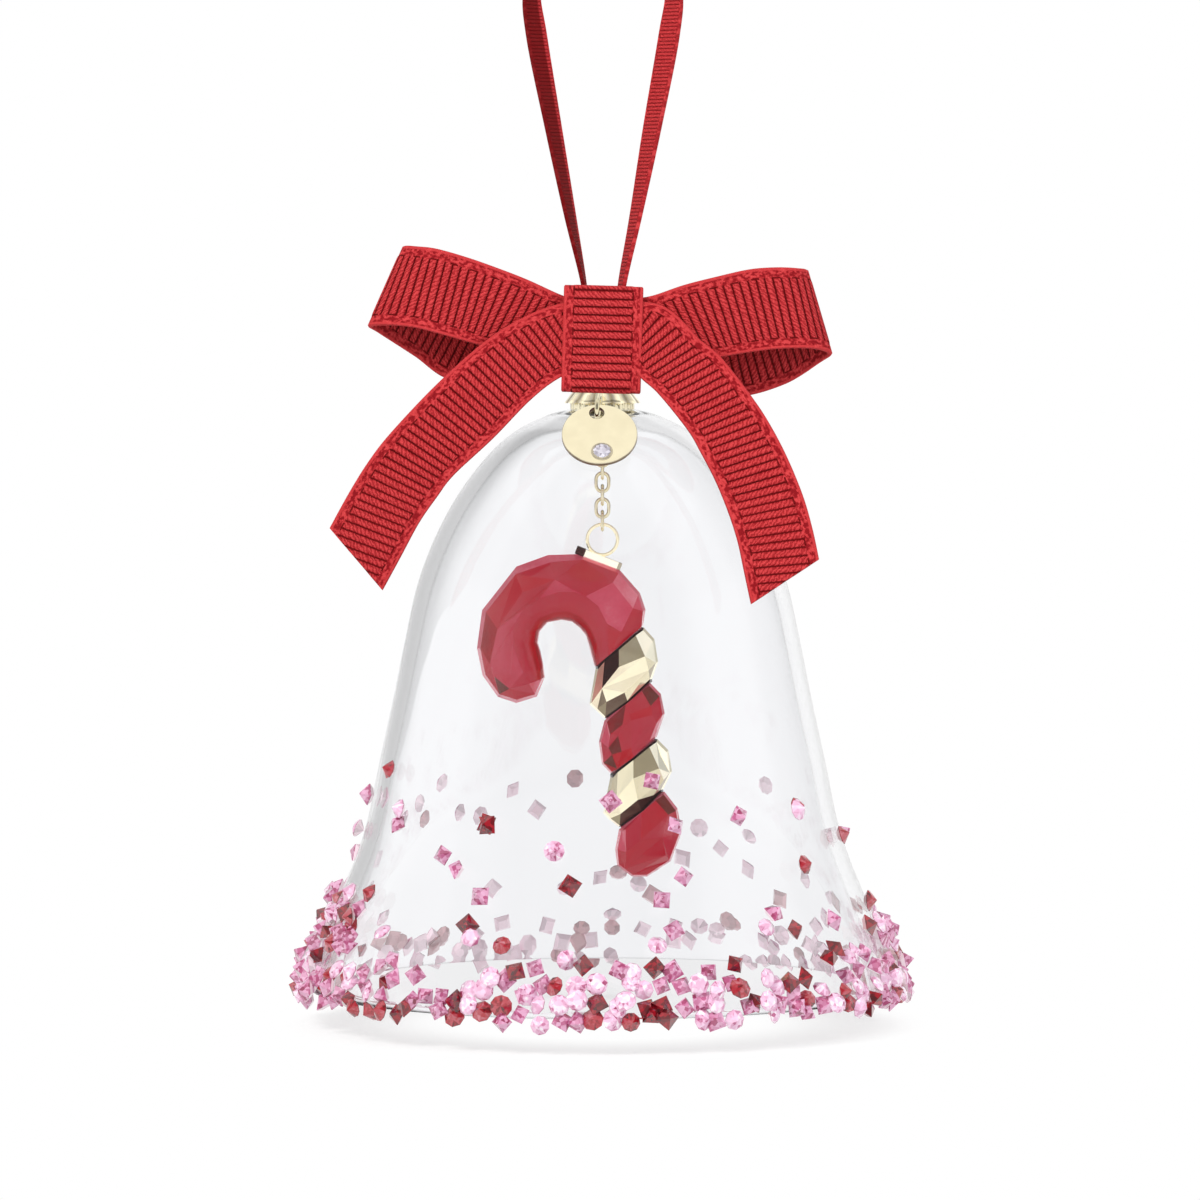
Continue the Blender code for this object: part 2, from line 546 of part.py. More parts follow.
TAG_CENTRE = tag_centre()
TAG_FRAME = (Matrix.Translation(TAG_CENTRE) @ Matrix.Rotation(-TAG_TILT, 4, "X")
             @ Matrix.Rotation(TAG_TURN, 4, "Y"))   # its face looks along its own -Y
TAG_HOLE = TAG_FRAME @ Vector((0, 0, TAG_RADIUS - TAG_HOLE_FROM_EDGE))
TAG_STONE = TAG_FRAME @ Vector((0, 0, TAG_RADIUS - TAG_STONE_FROM_EDGE))


def make_tag():
    half = TAG_OUT * TAG_THICKNESS / 2
    disc = rod(bmesh.new(), TAG_CENTRE - half, TAG_CENTRE + half, TAG_RADIUS, 48)
    tag = add_piece("tag_disc", disc, "gold", GOLD, origin=TAG_HOLE, smooth=True)
    hole = rod(bmesh.new(), TAG_HOLE - half * 2, TAG_HOLE + half * 2, TAG_HOLE_RADIUS)
    combine(tag, hole, "tag_hole", "DIFFERENCE")
    floor = TAG_STONE - half + TAG_OUT * TAG_STONE_FLOOR
    seat = rod(bmesh.new(), floor, TAG_STONE + half * 2,
               TAG_STONE_RADIUS + TAG_STONE_SEAT_GAP)
    combine(tag, seat, "tag_stone_seat", "DIFFERENCE")
    stone = bmesh.new()
    across = AXIS_X
    up = TAG_OUT.cross(across)
    angles = [math.tau * k / TAG_STONE_SIDES for k in range(TAG_STONE_SIDES)]
    rings = [[floor + TAG_OUT * rise * MM + TAG_STONE_RADIUS * share
              * (math.cos(a) * across + math.sin(a) * up) for a in angles]
             for rise, share in TAG_STONE_LEVELS]
    add_piece("tag_stone", loft(stone, rings), "clear_glass", CLEAR_GLASS, origin=TAG_HOLE)


def make_tag_ring():
    """An oval ring from the crown's lug down through the tag's hole."""
    length = (LUG_CENTRE - TAG_HOLE).length
    long_axis = (LUG_CENTRE - TAG_HOLE).normalized()
    side = long_axis.cross(AXIS_X).normalized()
    normal = long_axis.cross(side).normalized()
    centre = (LUG_CENTRE + TAG_HOLE) / 2
    path = oval_path(centre, long_axis, side, length / 2, RING_HALF_WIDTH, 7)
    ring = wire_loop(bmesh.new(), path, normal, RING_WIRE_RADIUS)
    add_piece("tag_ring", ring, "gold", GOLD, origin=LUG_CENTRE, smooth=True)


# ---- ribbon ---------------------------------------------------------------------

def ribbon(name, centres, widths, thickness):
    """A flat ribbon along the centres, as wide and as turned as the width vectors."""
    rings = []
    for i, (centre, width) in enumerate(zip(centres, widths)):
        along = centres[min(i + 1, len(centres) - 1)] - centres[max(i - 1, 0)]
        through = along.cross(width).normalized() * thickness / 2
        half = width / 2
        rings.append([centre + half + through, centre - half + through,
                      centre - half - through, centre + half - through])
    return add_piece(name, loft(bmesh.new(), rings), "red_ribbon", RED_RIBBON)


def clear_of_glass(centre, width):
    """The centre, moved forward where the ribbon's edges or middle would near the glass."""
    forward = -centre.y
    for share in (-0.5, 0.0, 0.5):
        point = centre + share * width
        if 0 < point.z < BELL_HEIGHT:
            room = glass_at(point.z)[0] + TAIL_CLEARANCE
            forward = max(forward, math.sqrt(max(room ** 2 - point.x ** 2, 0)))
    return Vector((centre.x, -forward, centre.z))


def make_bow_piece(name, stations):
    foot = Vector((0, 0, CAP_FOOT))
    lean = Matrix.Rotation(KNOT_LEAN, 3, "Y")
    widths = [lean @ Vector(row[3:]) * MM for row in stations]
    centres = [clear_of_glass(foot + Vector(row[:3]) * MM, width)
               for row, width in zip(stations, widths)]
    ribbon(name, smooth_points(centres, 3), smooth_points(widths, 3), RIBBON_THICKNESS)


def rounded_outline(corners, radius, steps=4):
    """A closed outline with each corner rounded by an arc."""
    outline = []
    for i, corner in enumerate(corners):
        back = (corners[i - 1] - corner).normalized()
        ahead = (corners[(i + 1) % len(corners)] - corner).normalized()
        half_angle = back.angle(ahead) / 2
        centre = corner + (back + ahead).normalized() * radius / math.sin(half_angle)
        start = corner + back * radius / math.tan(half_angle) - centre
        end = corner + ahead * radius / math.tan(half_angle) - centre
        axis = start.cross(end)
        for step in range(steps + 1):
            turn = Matrix.Rotation(start.angle(end) * step / steps, 3, axis)
            outline.append(centre + turn @ start)
    return outline


def inset_corners(corners, distance):
    inset = []
    for i, corner in enumerate(corners):
        back = (corners[i - 1] - corner).normalized()
        ahead = (corners[(i + 1) % len(corners)] - corner).normalized()
        inset.append(corner + (back + ahead).normalized() * distance
                     / math.sin(back.angle(ahead) / 2))
    return inset


def make_knot():
    """The short ribbon wrapped round the bow's middle, open at its two sides."""
    corners = [Vector((0, y, z)) * MM + AXIS_Z * CAP_FOOT for y, z in KNOT_CORNERS]
    outer = rounded_outline(corners, KNOT_CORNER_RADIUS)
    inner = rounded_outline(inset_corners(corners, RIBBON_THICKNESS),
                            KNOT_CORNER_RADIUS - RIBBON_THICKNESS)
    middle = sum(corners, Vector()) / len(corners)
    lean = Matrix.Translation(middle) @ Matrix.Rotation(KNOT_LEAN, 4, "Y")
    lean = lean @ Matrix.Translation(-middle)
    half = AXIS_X * KNOT_WIDTH / 2
    rings = [[lean @ (a - half), lean @ (b - half), lean @ (b + half), lean @ (a + half)]
             for a, b in zip(outer, inner)]
    add_piece("bow_knot_wrap", loft(bmesh.new(), rings, closed=True), "red_ribbon", RED_RIBBON)


def make_hanging_ribbon():
    centres = [EYELET_CENTRE + Vector(row[:3]) * MM for row in HANG_ROUTE]
    last = len(HANG_ROUTE) - 1
    widths = []
    for i, row in enumerate(HANG_ROUTE):
        pinched = min(i, last - i) < PINCHED_STATIONS
        size = HANG_RIBBON_PINCH if pinched else HANG_RIBBON_WIDTH
        turn = math.radians(row[3]) * (1 if i < last / 2 else -1)
        widths.append(Vector((math.sin(turn), math.cos(turn), 0)) * size)
    ribbon("hang_ribbon", smooth_points(centres, 3), smooth_points(widths, 3),
           HANG_RIBBON_THICKNESS)


def make_bow():
    make_bow_piece("bow_loop_left", LOOP_LEFT)
    make_bow_piece("bow_loop_right", LOOP_RIGHT)
    make_bow_piece("bow_tail_left", TAIL_LEFT)
    make_bow_piece("bow_tail_right", TAIL_RIGHT)
    make_knot()


# ---- stones ---------------------------------------------------------------------

def on_glass(angle, height, offset):
    """A point off the outer wall: angle round from the front, height, and offset."""
    radius, normal = glass_at(height)
    reach = radius + normal.x * offset
    return Vector((reach * math.sin(angle), -reach * math.cos(angle),
                   height + normal.y * offset))


def wall_normal(angle, height):
    normal = glass_at(height)[1]
    return Vector((normal.x * math.sin(angle), -normal.x * math.cos(angle), normal.y))


def stone(bm, base, axis, sides, turn):
    """A faceted stone on its base: a short pavilion, its girdle and a small table."""
    first = axis.orthogonal().normalized()
    second = axis.cross(first)
    size = ROUND_STONE_RADIUS if sides > 4 else SQUARE_STONE_HALF * math.sqrt(2)
    levels = ROUND_STONE_LEVELS if sides > 4 else SQUARE_STONE_LEVELS
    rings = [[base + axis * rise * STONE_HEIGHT + size * share
              * (math.cos(a) * first + math.sin(a) * second)
              for a in (turn + math.tau * k / sides for k in range(sides))]
             for rise, share in levels]
    return loft(bm, rings)


def bed_rings(start, end, steps=4):
    """Cross-sections of a sector's clear adhesive, which follows the flared wall."""
    inner, outer = FIT_GAP, FIT_GAP + BED_THICKNESS
    middle = (BED_LOW + BED_HIGH) / 2
    for step in range(steps + 1):
        angle = start + (end - start) * step / steps
        yield [on_glass(angle, BED_LOW, inner), on_glass(angle, middle, inner),
               on_glass(angle, BED_HIGH, inner), on_glass(angle, BED_HIGH, outer),
               on_glass(angle, middle, outer), on_glass(angle, BED_LOW, outer)]


def sector_stones(sector):
    """Angle, height, sides and turn of each stone of a rim sector."""
    draw = random.Random(STONE_SEED + sector % (SECTOR_COUNT // 2))
    span = math.tau / SECTOR_COUNT
    low = sector * span + SECTOR_STONE_MARGIN
    room = span - 2 * SECTOR_STONE_MARGIN
    for height, count in STONE_ROWS:
        for place in range(count):
            angle = low + room * place / (count - 1)
            angle += draw.uniform(-STONE_DRIFT, STONE_DRIFT) / BELL_RADIUS / 2
            yield (angle, height + draw.uniform(-STONE_DRIFT, STONE_DRIFT),
                   draw.choice((4, 6, 6)), draw.uniform(0, math.tau))


def make_rim_sector(sector):
    span = math.tau / SECTOR_COUNT
    start = sector * span + BED_END_GAP
    end = (sector + 1) * span - BED_END_GAP
    name = f"rim_stones_{sector + 1:02d}"
    bed = add_piece(name, loft(bmesh.new(), list(bed_rings(start, end))),
                    "adhesive_and_stones", ADHESIVE_STONES)
    stones = bmesh.new()
    lift = FIT_GAP + BED_THICKNESS - STONE_SINK
    for angle, height, sides, turn in sector_stones(sector):
        stone(stones, on_glass(angle, height, lift), wall_normal(angle, height), sides, turn)
    combine(bed, stones, name + "_gems")


def make_stones():
    for sector in range(SECTOR_COUNT):
        make_rim_sector(sector)
    draw = random.Random(STONE_SEED)
    for number, (degrees, height, sides) in enumerate(LOOSE_STONES, 1):
        angle = math.radians(degrees)
        turn = draw.uniform(0, math.tau)
        gem = stone(bmesh.new(), on_glass(angle, height * MM, FIT_GAP),
                    wall_normal(angle, height * MM), sides, turn)
        add_piece(f"loose_stone_{number:02d}", gem, "pink_stone", PINK_STONE)


def main():
    clear_scene()
    make_bell()
    make_collar()
    make_crown()
    make_eyelet()
    make_inner_fittings()
    make_chain()
    make_bail()
    make_cane()
    make_tag()
    make_tag_ring()
    make_bow()
    make_hanging_ribbon()
    make_stones()


main()
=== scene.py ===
import math
import random

import bmesh
import bpy
import numpy as np
from mathutils import Matrix, Vector, geometry


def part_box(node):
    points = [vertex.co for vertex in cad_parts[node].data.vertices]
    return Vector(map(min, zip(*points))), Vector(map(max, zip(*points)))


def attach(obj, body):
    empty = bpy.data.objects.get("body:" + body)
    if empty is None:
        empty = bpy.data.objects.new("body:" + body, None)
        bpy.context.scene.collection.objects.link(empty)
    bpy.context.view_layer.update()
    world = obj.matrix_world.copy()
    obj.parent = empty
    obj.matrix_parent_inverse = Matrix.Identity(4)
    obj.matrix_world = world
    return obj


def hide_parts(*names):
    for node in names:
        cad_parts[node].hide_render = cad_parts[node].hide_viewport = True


# A glass bell with a ribbon bow, a gold cap, a candy cane on a chain and faceted
# stones round its rim. Places are in metres in the frame's own axes: +Z up, the bow
# towards -Y. The dictionaries give sizes in millimetres and angles in degrees.
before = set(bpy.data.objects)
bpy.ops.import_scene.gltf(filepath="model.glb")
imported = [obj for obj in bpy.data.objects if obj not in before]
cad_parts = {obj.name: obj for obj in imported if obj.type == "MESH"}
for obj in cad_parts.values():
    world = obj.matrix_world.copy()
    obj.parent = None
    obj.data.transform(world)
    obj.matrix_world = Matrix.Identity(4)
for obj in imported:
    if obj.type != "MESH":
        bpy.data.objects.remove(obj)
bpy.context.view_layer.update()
mm = 0.001


camera = {
    "distance": 800,
    "lookingDown": 2.7,
    "aim": (-0.3, 0.0, 48.6),
    "lens": 192,
    "picture": 1200,       # its width and height in pixels
    "sensor": 36,
}

studio = {
    "skyForCloth": 0.60,   # plain light from all round, for matt surfaces
    "wall": 1.0,           # what glass and metal show of the white wall
    "gap": 0.80,           # the darker gap between the wall and the ceiling panel
    "gapRise": (0.32, 0.44),       # where it starts and is whole, as sines of the height
    "ceilingRise": (0.62, 0.70),
    "panels": 4.0,         # upright light panels round the wall, and the turn of the first
    "panelTurn": 0.6,
    "panelEdge": (-0.55, 0.15),
    "strips": 0.35,        # how much darker the wall is between its light panels
    "floorDrop": 4.3,      # the bell hangs this far over the floor
    "floorRadius": 3000,
    "floorGrey": 0.8,
    "shadowRing": (18, 33, 42),    # where the soft shadow starts, is whole and ends
    "shadowShare": 0.36,
    "floorLight": 0.9,     # how brightly the floor is lit there
    "throughWall": 0.92,   # how bright the floor shows through the front wall alone
    "behind": 0.7,         # how much darker gold inside the glass sees what lies behind it
    "behindEdge": (-0.10, 0.40),
    "cameraSide": 0.3,     # the dark side of the room, behind the camera, that glass mirrors
    "cameraEdge": (-0.75, -0.30),
    "bounces": 32,
    "lampsAimAt": (0, 0, 50),
}

lamps = {
    "key": {"at": (-330, -460, 470), "size": 220, "power": 2.95, "colour": (1.0, 0.98, 0.96)},
    "fill": {"at": (480, -330, 260), "size": 300, "power": 1.25, "colour": (0.96, 0.98, 1.0)},
    "back": {"at": (120, 460, 380), "size": 300, "power": 1.0, "colour": (1.0, 1.0, 1.0)},
}


class Value:
    # a shader socket that can stand in a sum: each operator adds its node
    def __init__(self, nodes, made, output=0):
        self.nodes = nodes
        self.made = made
        self.socket = made.outputs[output]

    def out(self, output):
        return Value(self.nodes, self.made, output)

    def maths(self, operation, *others):
        sockets = dict(enumerate((self, *others)))
        return self.nodes.node("ShaderNodeMath", {"operation": operation}, sockets)

    def reflected(self, operation, other):
        return self.nodes.node("ShaderNodeMath", {"operation": operation}, {0: other, 1: self})

    def __add__(self, other):
        return self.maths("ADD", other)

    def __sub__(self, other):
        return self.maths("SUBTRACT", other)

    def __mul__(self, other):
        return self.maths("MULTIPLY", other)

    def __truediv__(self, other):
        return self.maths("DIVIDE", other)

    def __radd__(self, other):
        return self.reflected("ADD", other)

    def __rsub__(self, other):
        return self.reflected("SUBTRACT", other)

    def __rmul__(self, other):
        return self.reflected("MULTIPLY", other)


class Nodes:
    def __init__(self, tree):
        self.tree = tree

    def node(self, kind, settings=None, sockets=None, output=0):
        made = self.tree.nodes.new(kind)
        for key, value in (settings or {}).items():
            if key == "stops":
                stops = made.color_ramp.elements
                while len(stops) < len(value):
                    stops.new(0.5)
                for stop, (place, colour) in zip(stops, value):
                    stop.position = place
                    stop.color = (*colour, 1.0)
            else:
                setattr(made, key, value)
        for key, value in (sockets or {}).items():
            self.plug(made.inputs[key], value)
        return Value(self, made, output)

    def plug(self, target, value):
        if isinstance(value, Value):
            self.tree.links.new(value.socket, target)
        elif target.type == "RGBA":
            target.default_value = (*value, 1.0)
        else:
            target.default_value = value

    def step(self, value, low, high, bottom=0.0, top=1.0):
        # a smooth step from bottom to top as the value goes from low to high
        return self.node("ShaderNodeMapRange", {"interpolation_type": "SMOOTHSTEP"},
                         {0: value, 1: low, 2: high, 3: bottom, 4: top})

    def mix(self, factor, first, second):
        return self.node("ShaderNodeMix", {}, {0: factor, 2: first, 3: second})

    def blend(self, factor, first, second):
        # the same for colours
        return self.node("ShaderNodeMix", {"data_type": "RGBA"},
                         {0: factor, 6: first, 7: second}, 2)

    def ramp(self, value, *stops):
        return self.node("ShaderNodeValToRGB", {"stops": stops}, {0: value})

    def noise(self, where, scale, detail=2.0):
        return self.node("ShaderNodeTexNoise", {},
                         {"Vector": where, "Scale": scale, "Detail": detail})

    def parts(self, vector):
        split = self.node("ShaderNodeSeparateXYZ", {}, {0: vector})
        return split, split.out(1), split.out(2)

    def attribute(self, name, output):
        return self.node("ShaderNodeAttribute", {"attribute_name": name}, {}, output)

    def place(self):
        # the surface's own place, which stays with the piece when it moves
        return self.node("ShaderNodeTexCoord").out("Object")


class Finish(Nodes):
    def __init__(self, name, **plain):
        self.material = bpy.data.materials.new(name)
        self.material.use_nodes = True
        super().__init__(self.material.node_tree)
        self.shader = self.tree.nodes["Principled BSDF"]
        for key, value in plain.items():
            self.feed(key, value)

    def feed(self, key, value):
        names = {"colour": "Base Color", "roughness": "Roughness", "metallic": "Metallic",
                 "transmission": "Transmission Weight", "ior": "IOR", "coat": "Coat Weight",
                 "coatRoughness": "Coat Roughness", "specular": "Specular IOR Level",
                 "glow": "Emission Color", "glowStrength": "Emission Strength",
                 "normal": "Normal"}
        self.plug(self.shader.inputs[names[key]], value)

    def plugSurface(self, shading):
        # this shading in place of the plain one
        self.tree.nodes.remove(self.shader)
        self.tree.links.new(shading.socket, self.tree.nodes["Material Output"].inputs["Surface"])

    def bump(self, height, strength, distance):
        self.feed("normal", self.node("ShaderNodeBump", {}, {
            "Height": height, "Strength": strength, "Distance": distance * mm}))


def makeCamera():
    data = bpy.data.cameras.new("camera")
    data.lens = camera["lens"]
    data.sensor_width = camera["sensor"]
    data.clip_end = 20             # metres
    seen = bpy.data.objects.new("camera", data)
    down = math.radians(camera["lookingDown"])
    back = Vector((0, -math.cos(down), math.sin(down))) * camera["distance"] * mm
    seen.location = Vector(camera["aim"]) * mm + back
    seen.rotation_euler = (math.pi / 2 - down, 0, 0)
    bpy.context.scene.collection.objects.link(seen)
    bpy.context.scene.camera = seen


def makeStudio():
    scene = bpy.context.scene
    scene.view_settings.view_transform = "Standard"
    scene.cycles.max_bounces = studio["bounces"]
    scene.cycles.transmission_bounces = studio["bounces"]
    world = bpy.data.worlds.new("studio")
    scene.world = world
    world.use_nodes = True
    sky = Nodes(world.node_tree)
    across, along, rise = sky.parts(sky.node("ShaderNodeTexCoord").out("Generated"))
    gap = studio["gap"]
    wall = sky.step(rise, *studio["gapRise"], studio["wall"], gap)
    ceiling = sky.step(rise, *studio["ceilingRise"], 0.0, studio["wall"] - gap)
    wave = across.maths("ARCTAN2", along) * studio["panels"] + studio["panelTurn"]
    panels = sky.step(wave.maths("SINE"), *studio["panelEdge"], 1.0 - studio["strips"], 1.0)
    path = sky.node("ShaderNodeLightPath", output="Is Camera Ray")
    seen = path + path.out("Is Transmission Ray")
    mirror = path.out("Glossy Depth").maths("MINIMUM", 1.0)
    inGlass = path.out("Transmission Depth").maths("GREATER_THAN", 2.5)
    behind = sky.step(along, *studio["behindEdge"]) * studio["behind"] * inGlass
    front = sky.step(along, *studio["cameraEdge"], 1.0 - studio["cameraSide"], 0.0)
    room = (wall + ceiling) * (1.0 - (behind + front * (1.0 - inGlass)) * mirror)
    glossy = path.out("Is Glossy Ray")
    mirrored = room * sky.mix(glossy, 1.0, panels)
    plain = sky.mix((seen + glossy).maths("MINIMUM", 1.0), studio["skyForCloth"], mirrored)
    light = sky.mix(path, plain, 1.0)
    background = world.node_tree.nodes["Background"]
    sky.plug(background.inputs["Color"], (1.0, 1.0, 1.0))
    sky.plug(background.inputs["Strength"], light)


def makeLamps():
    for name, lamp in lamps.items():
        data = bpy.data.lights.new(name, "AREA")
        data.size = lamp["size"] * mm
        data.energy = lamp["power"]
        data.color = lamp["colour"]
        item = bpy.data.objects.new(name, data)
        item.location = Vector(lamp["at"]) * mm
        toBell = Vector(studio["lampsAimAt"]) * mm - item.location
        item.rotation_euler = toBell.to_track_quat("-Z", "Y").to_euler()
        item.visible_camera = False
        item.visible_glossy = False
        item.visible_transmission = False
        bpy.context.scene.collection.objects.link(item)


def makeFloor():
    bm = bmesh.new()
    bmesh.ops.create_circle(bm, cap_ends=True, segments=96, radius=studio["floorRadius"] * mm)
    mesh = bpy.data.meshes.new("floor")
    bm.to_mesh(mesh)
    bm.free()
    floor = bpy.data.objects.new("floor", mesh)
    floor.location.z = -studio["floorDrop"] * mm
    bpy.context.scene.collection.objects.link(floor)
    finish = Finish("paleFloor")
    distance = finish.node("ShaderNodeVectorMath", {"operation": "LENGTH"}, {0: finish.place()},
                           "Value")
    # the floor shows its real shade only within a ring round the rim, a painted shadow shape;
    # everywhere else it is evenly white
    start, whole, end = studio["shadowRing"]
    away = finish.step(distance, start * mm, whole * mm, 1.0, 0.0)
    away = away + finish.step(distance, whole * mm, end * mm)
    share = studio["shadowShare"]
    matt = finish.node("ShaderNodeBsdfDiffuse", {}, {"Color": (studio["floorGrey"],) * 3})
    shaded = finish.node("ShaderNodeBsdfDiffuse", {}, {"Color": (share,) * 3})
    lit = finish.node("ShaderNodeEmission", {}, {"Strength": 1.0 - studio["floorLight"] * share})
    near = finish.node("ShaderNodeAddShader", {}, {0: shaded, 1: lit})
    path = finish.node("ShaderNodeLightPath", output="Is Camera Ray")
    through = path.out("Is Transmission Ray")
    oneWall = through - path.out("Transmission Depth").maths("GREATER_THAN", 2.5)
    brightness = 1.0 - oneWall * (1.0 - studio["throughWall"])
    white = finish.node("ShaderNodeEmission", {}, {"Strength": brightness})
    looked = finish.node("ShaderNodeMixShader", {}, {0: away, 1: near, 2: white})
    seen = (path + through + path.out("Is Glossy Ray")).maths("MINIMUM", 1.0)
    both = finish.node("ShaderNodeMixShader", {}, {0: seen, 1: matt, 2: looked})
    finish.plugSurface(both)
    mesh.materials.append(finish.material)


creaseAngle = 38


def addPiece(name, mesh, finishes, body, replaced=(), smooth=True):
    # an object riding on its body, which stands for the CAD nodes it replaces
    for finish in finishes:
        mesh.materials.append(finish.material)
    if smooth:
        mesh.shade_smooth()
        mesh.set_sharp_from_angle(angle=math.radians(creaseAngle))
    piece = bpy.data.objects.new(name, mesh)
    bpy.context.scene.collection.objects.link(piece)
    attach(piece, body)
    if replaced:
        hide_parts(*replaced)
    return piece


def addGold(name, bm, finish, body, node, smooth=True):
    addPiece(name, meshOf(name, bm), [finish], body, [node], smooth)


def meshOf(name, bm):
    bmesh.ops.recalc_face_normals(bm, faces=bm.faces)
    mesh = bpy.data.meshes.new(name)
    bm.to_mesh(mesh)
    bm.free()
    return mesh


def smoothLine(stations, steps):
    # a Catmull-Rom curve through rows of numbers of any length
    rows = np.array(stations, float)
    result = []
    for i in range(len(rows) - 1):
        before, start = rows[max(i - 1, 0)], rows[i]
        end, after = rows[i + 1], rows[min(i + 2, len(rows) - 1)]
        for t in np.arange(steps) / steps:
            result.append(0.5 * (2 * start + (end - before) * t
                                 + (2 * before - 5 * start + 4 * end - after) * t ** 2
                                 + (3 * start - before - 3 * end + after) * t ** 3))
    return np.array([*result, rows[-1]])


def turned(bm, outline, segments=48, wave=None):
    # a closed (radius, height) outline in mm, turned about Z and waved if asked
    rings = []
    for angle in turns(segments):
        ring = []
        for number, (radius, height) in enumerate(outline):
            grow, lift = wave(angle, number) if wave else (0.0, 0.0)
            ring.append(Vector(((radius + grow) * math.cos(angle),
                                (radius + grow) * math.sin(angle), height + lift)) * mm)
        rings.append(ring)
    joinRings(bm, rings, True)
    return bm


def joinRings(bm, rings, closed):
    rows = [[bm.verts.new(point) for point in ring] for ring in rings]
    count = len(rows[0])
    for i in range(len(rows) if closed else len(rows) - 1):
        lower, upper = rows[i], rows[(i + 1) % len(rows)]
        for j in range(count):
            k = (j + 1) % count
            bm.faces.new((lower[j], lower[k], upper[k], upper[j]))
    if not closed:
        bm.faces.new(rows[0])
        bm.faces.new(reversed(rows[-1]))


def turns(count):
    return [math.tau * k / count for k in range(count)]


def tilted(degrees, axis, size=4):
    return Matrix.Rotation(math.radians(degrees), size, axis)


def toneFaces(faces, layer, tone, smooth):
    for face in faces:
        face[layer] = tone
        face.smooth = smooth


def newFaceted():
    # a mesh whose faces each have a tone
    bm = bmesh.new()
    return bm, bm.faces.layers.float.new("facet")


def wire(bm, path, normal, radius, sides=10):
    # a closed wire along a flat path in mm whose plane has this normal
    rings = []
    for i, point in enumerate(path):
        along = (path[(i + 1) % len(path)] - path[i - 1]).normalized()
        outward = along.cross(normal)
        rings.append([(point + radius * (math.cos(a) * outward + math.sin(a) * normal)) * mm
                      for a in turns(sides)])
    joinRings(bm, rings, True)
    return bm


def roundPath(centre, first, second, radius, steps=36):
    return [centre + radius * (math.cos(a) * first + math.sin(a) * second)
            for a in turns(steps)]


def ovalPath(centre, longWay, shortWay, halfLength, halfWidth, steps=12):
    straight = halfLength - halfWidth
    path = []
    for end in (1, -1):
        for step in range(steps + 1):
            a = math.pi * (step / steps - 0.5)
            path.append(centre + longWay * end * (straight + halfWidth * math.cos(a))
                        + shortWay * end * halfWidth * math.sin(a))
    return path


def rod(bm, start, end, radius, sides=24):
    axis = end - start
    turn = axis.to_track_quat("Z", "Y").to_matrix().to_4x4()
    matrix = Matrix.Translation((start + end) / 2 * mm) @ turn
    bmesh.ops.create_cone(bm, cap_ends=True, segments=sides, radius1=radius * mm,
                          radius2=radius * mm, depth=axis.length * mm, matrix=matrix)
    return bm


def middleOf(node):
    low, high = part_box(node)
    return (Vector(low) + Vector(high)) / 2 / mm


axisX, axisY, axisZ = Vector((1, 0, 0)), Vector((0, 1, 0)), Vector((0, 0, 1))
capFoot = 72.7                 # the glass's top, which the bow's places are measured from


grosgrain = {
    "thickness": 0.34,
    "ribPitch": 0.99,
    "ribHeight": 0.2,
    "grooveWidth": 0.13,
    "selvage": 1.25,           # the plain band along each edge
    "high": (0.60, 0.054, 0.058),
    "middle": (0.45, 0.028, 0.032),
    "low": (0.24, 0.007, 0.011),
    # painted shade: the colour of the grooves between ribs, and of the shaded strand of the
    # hanging ribbon
    "grooveShade": (0.10, 0.0005, 0.001),
    "ribRows": (0.0, 0.1, 0.24, 0.5, 0.76, 0.9),   # rows of points along each rib
    # columns of points from the edge in, in selvages
    "edgeColumns": (0.0, 0.1, 0.25, 0.45, 0.7, 0.9, 1.02, 1.16, 1.5, 2.4, 3.2),
    "beyond": (8, 0.8),        # steps, and their length, past a slanting end
    "slantFrom": 9,            # how far from its end a tail's ribs begin to slant
}

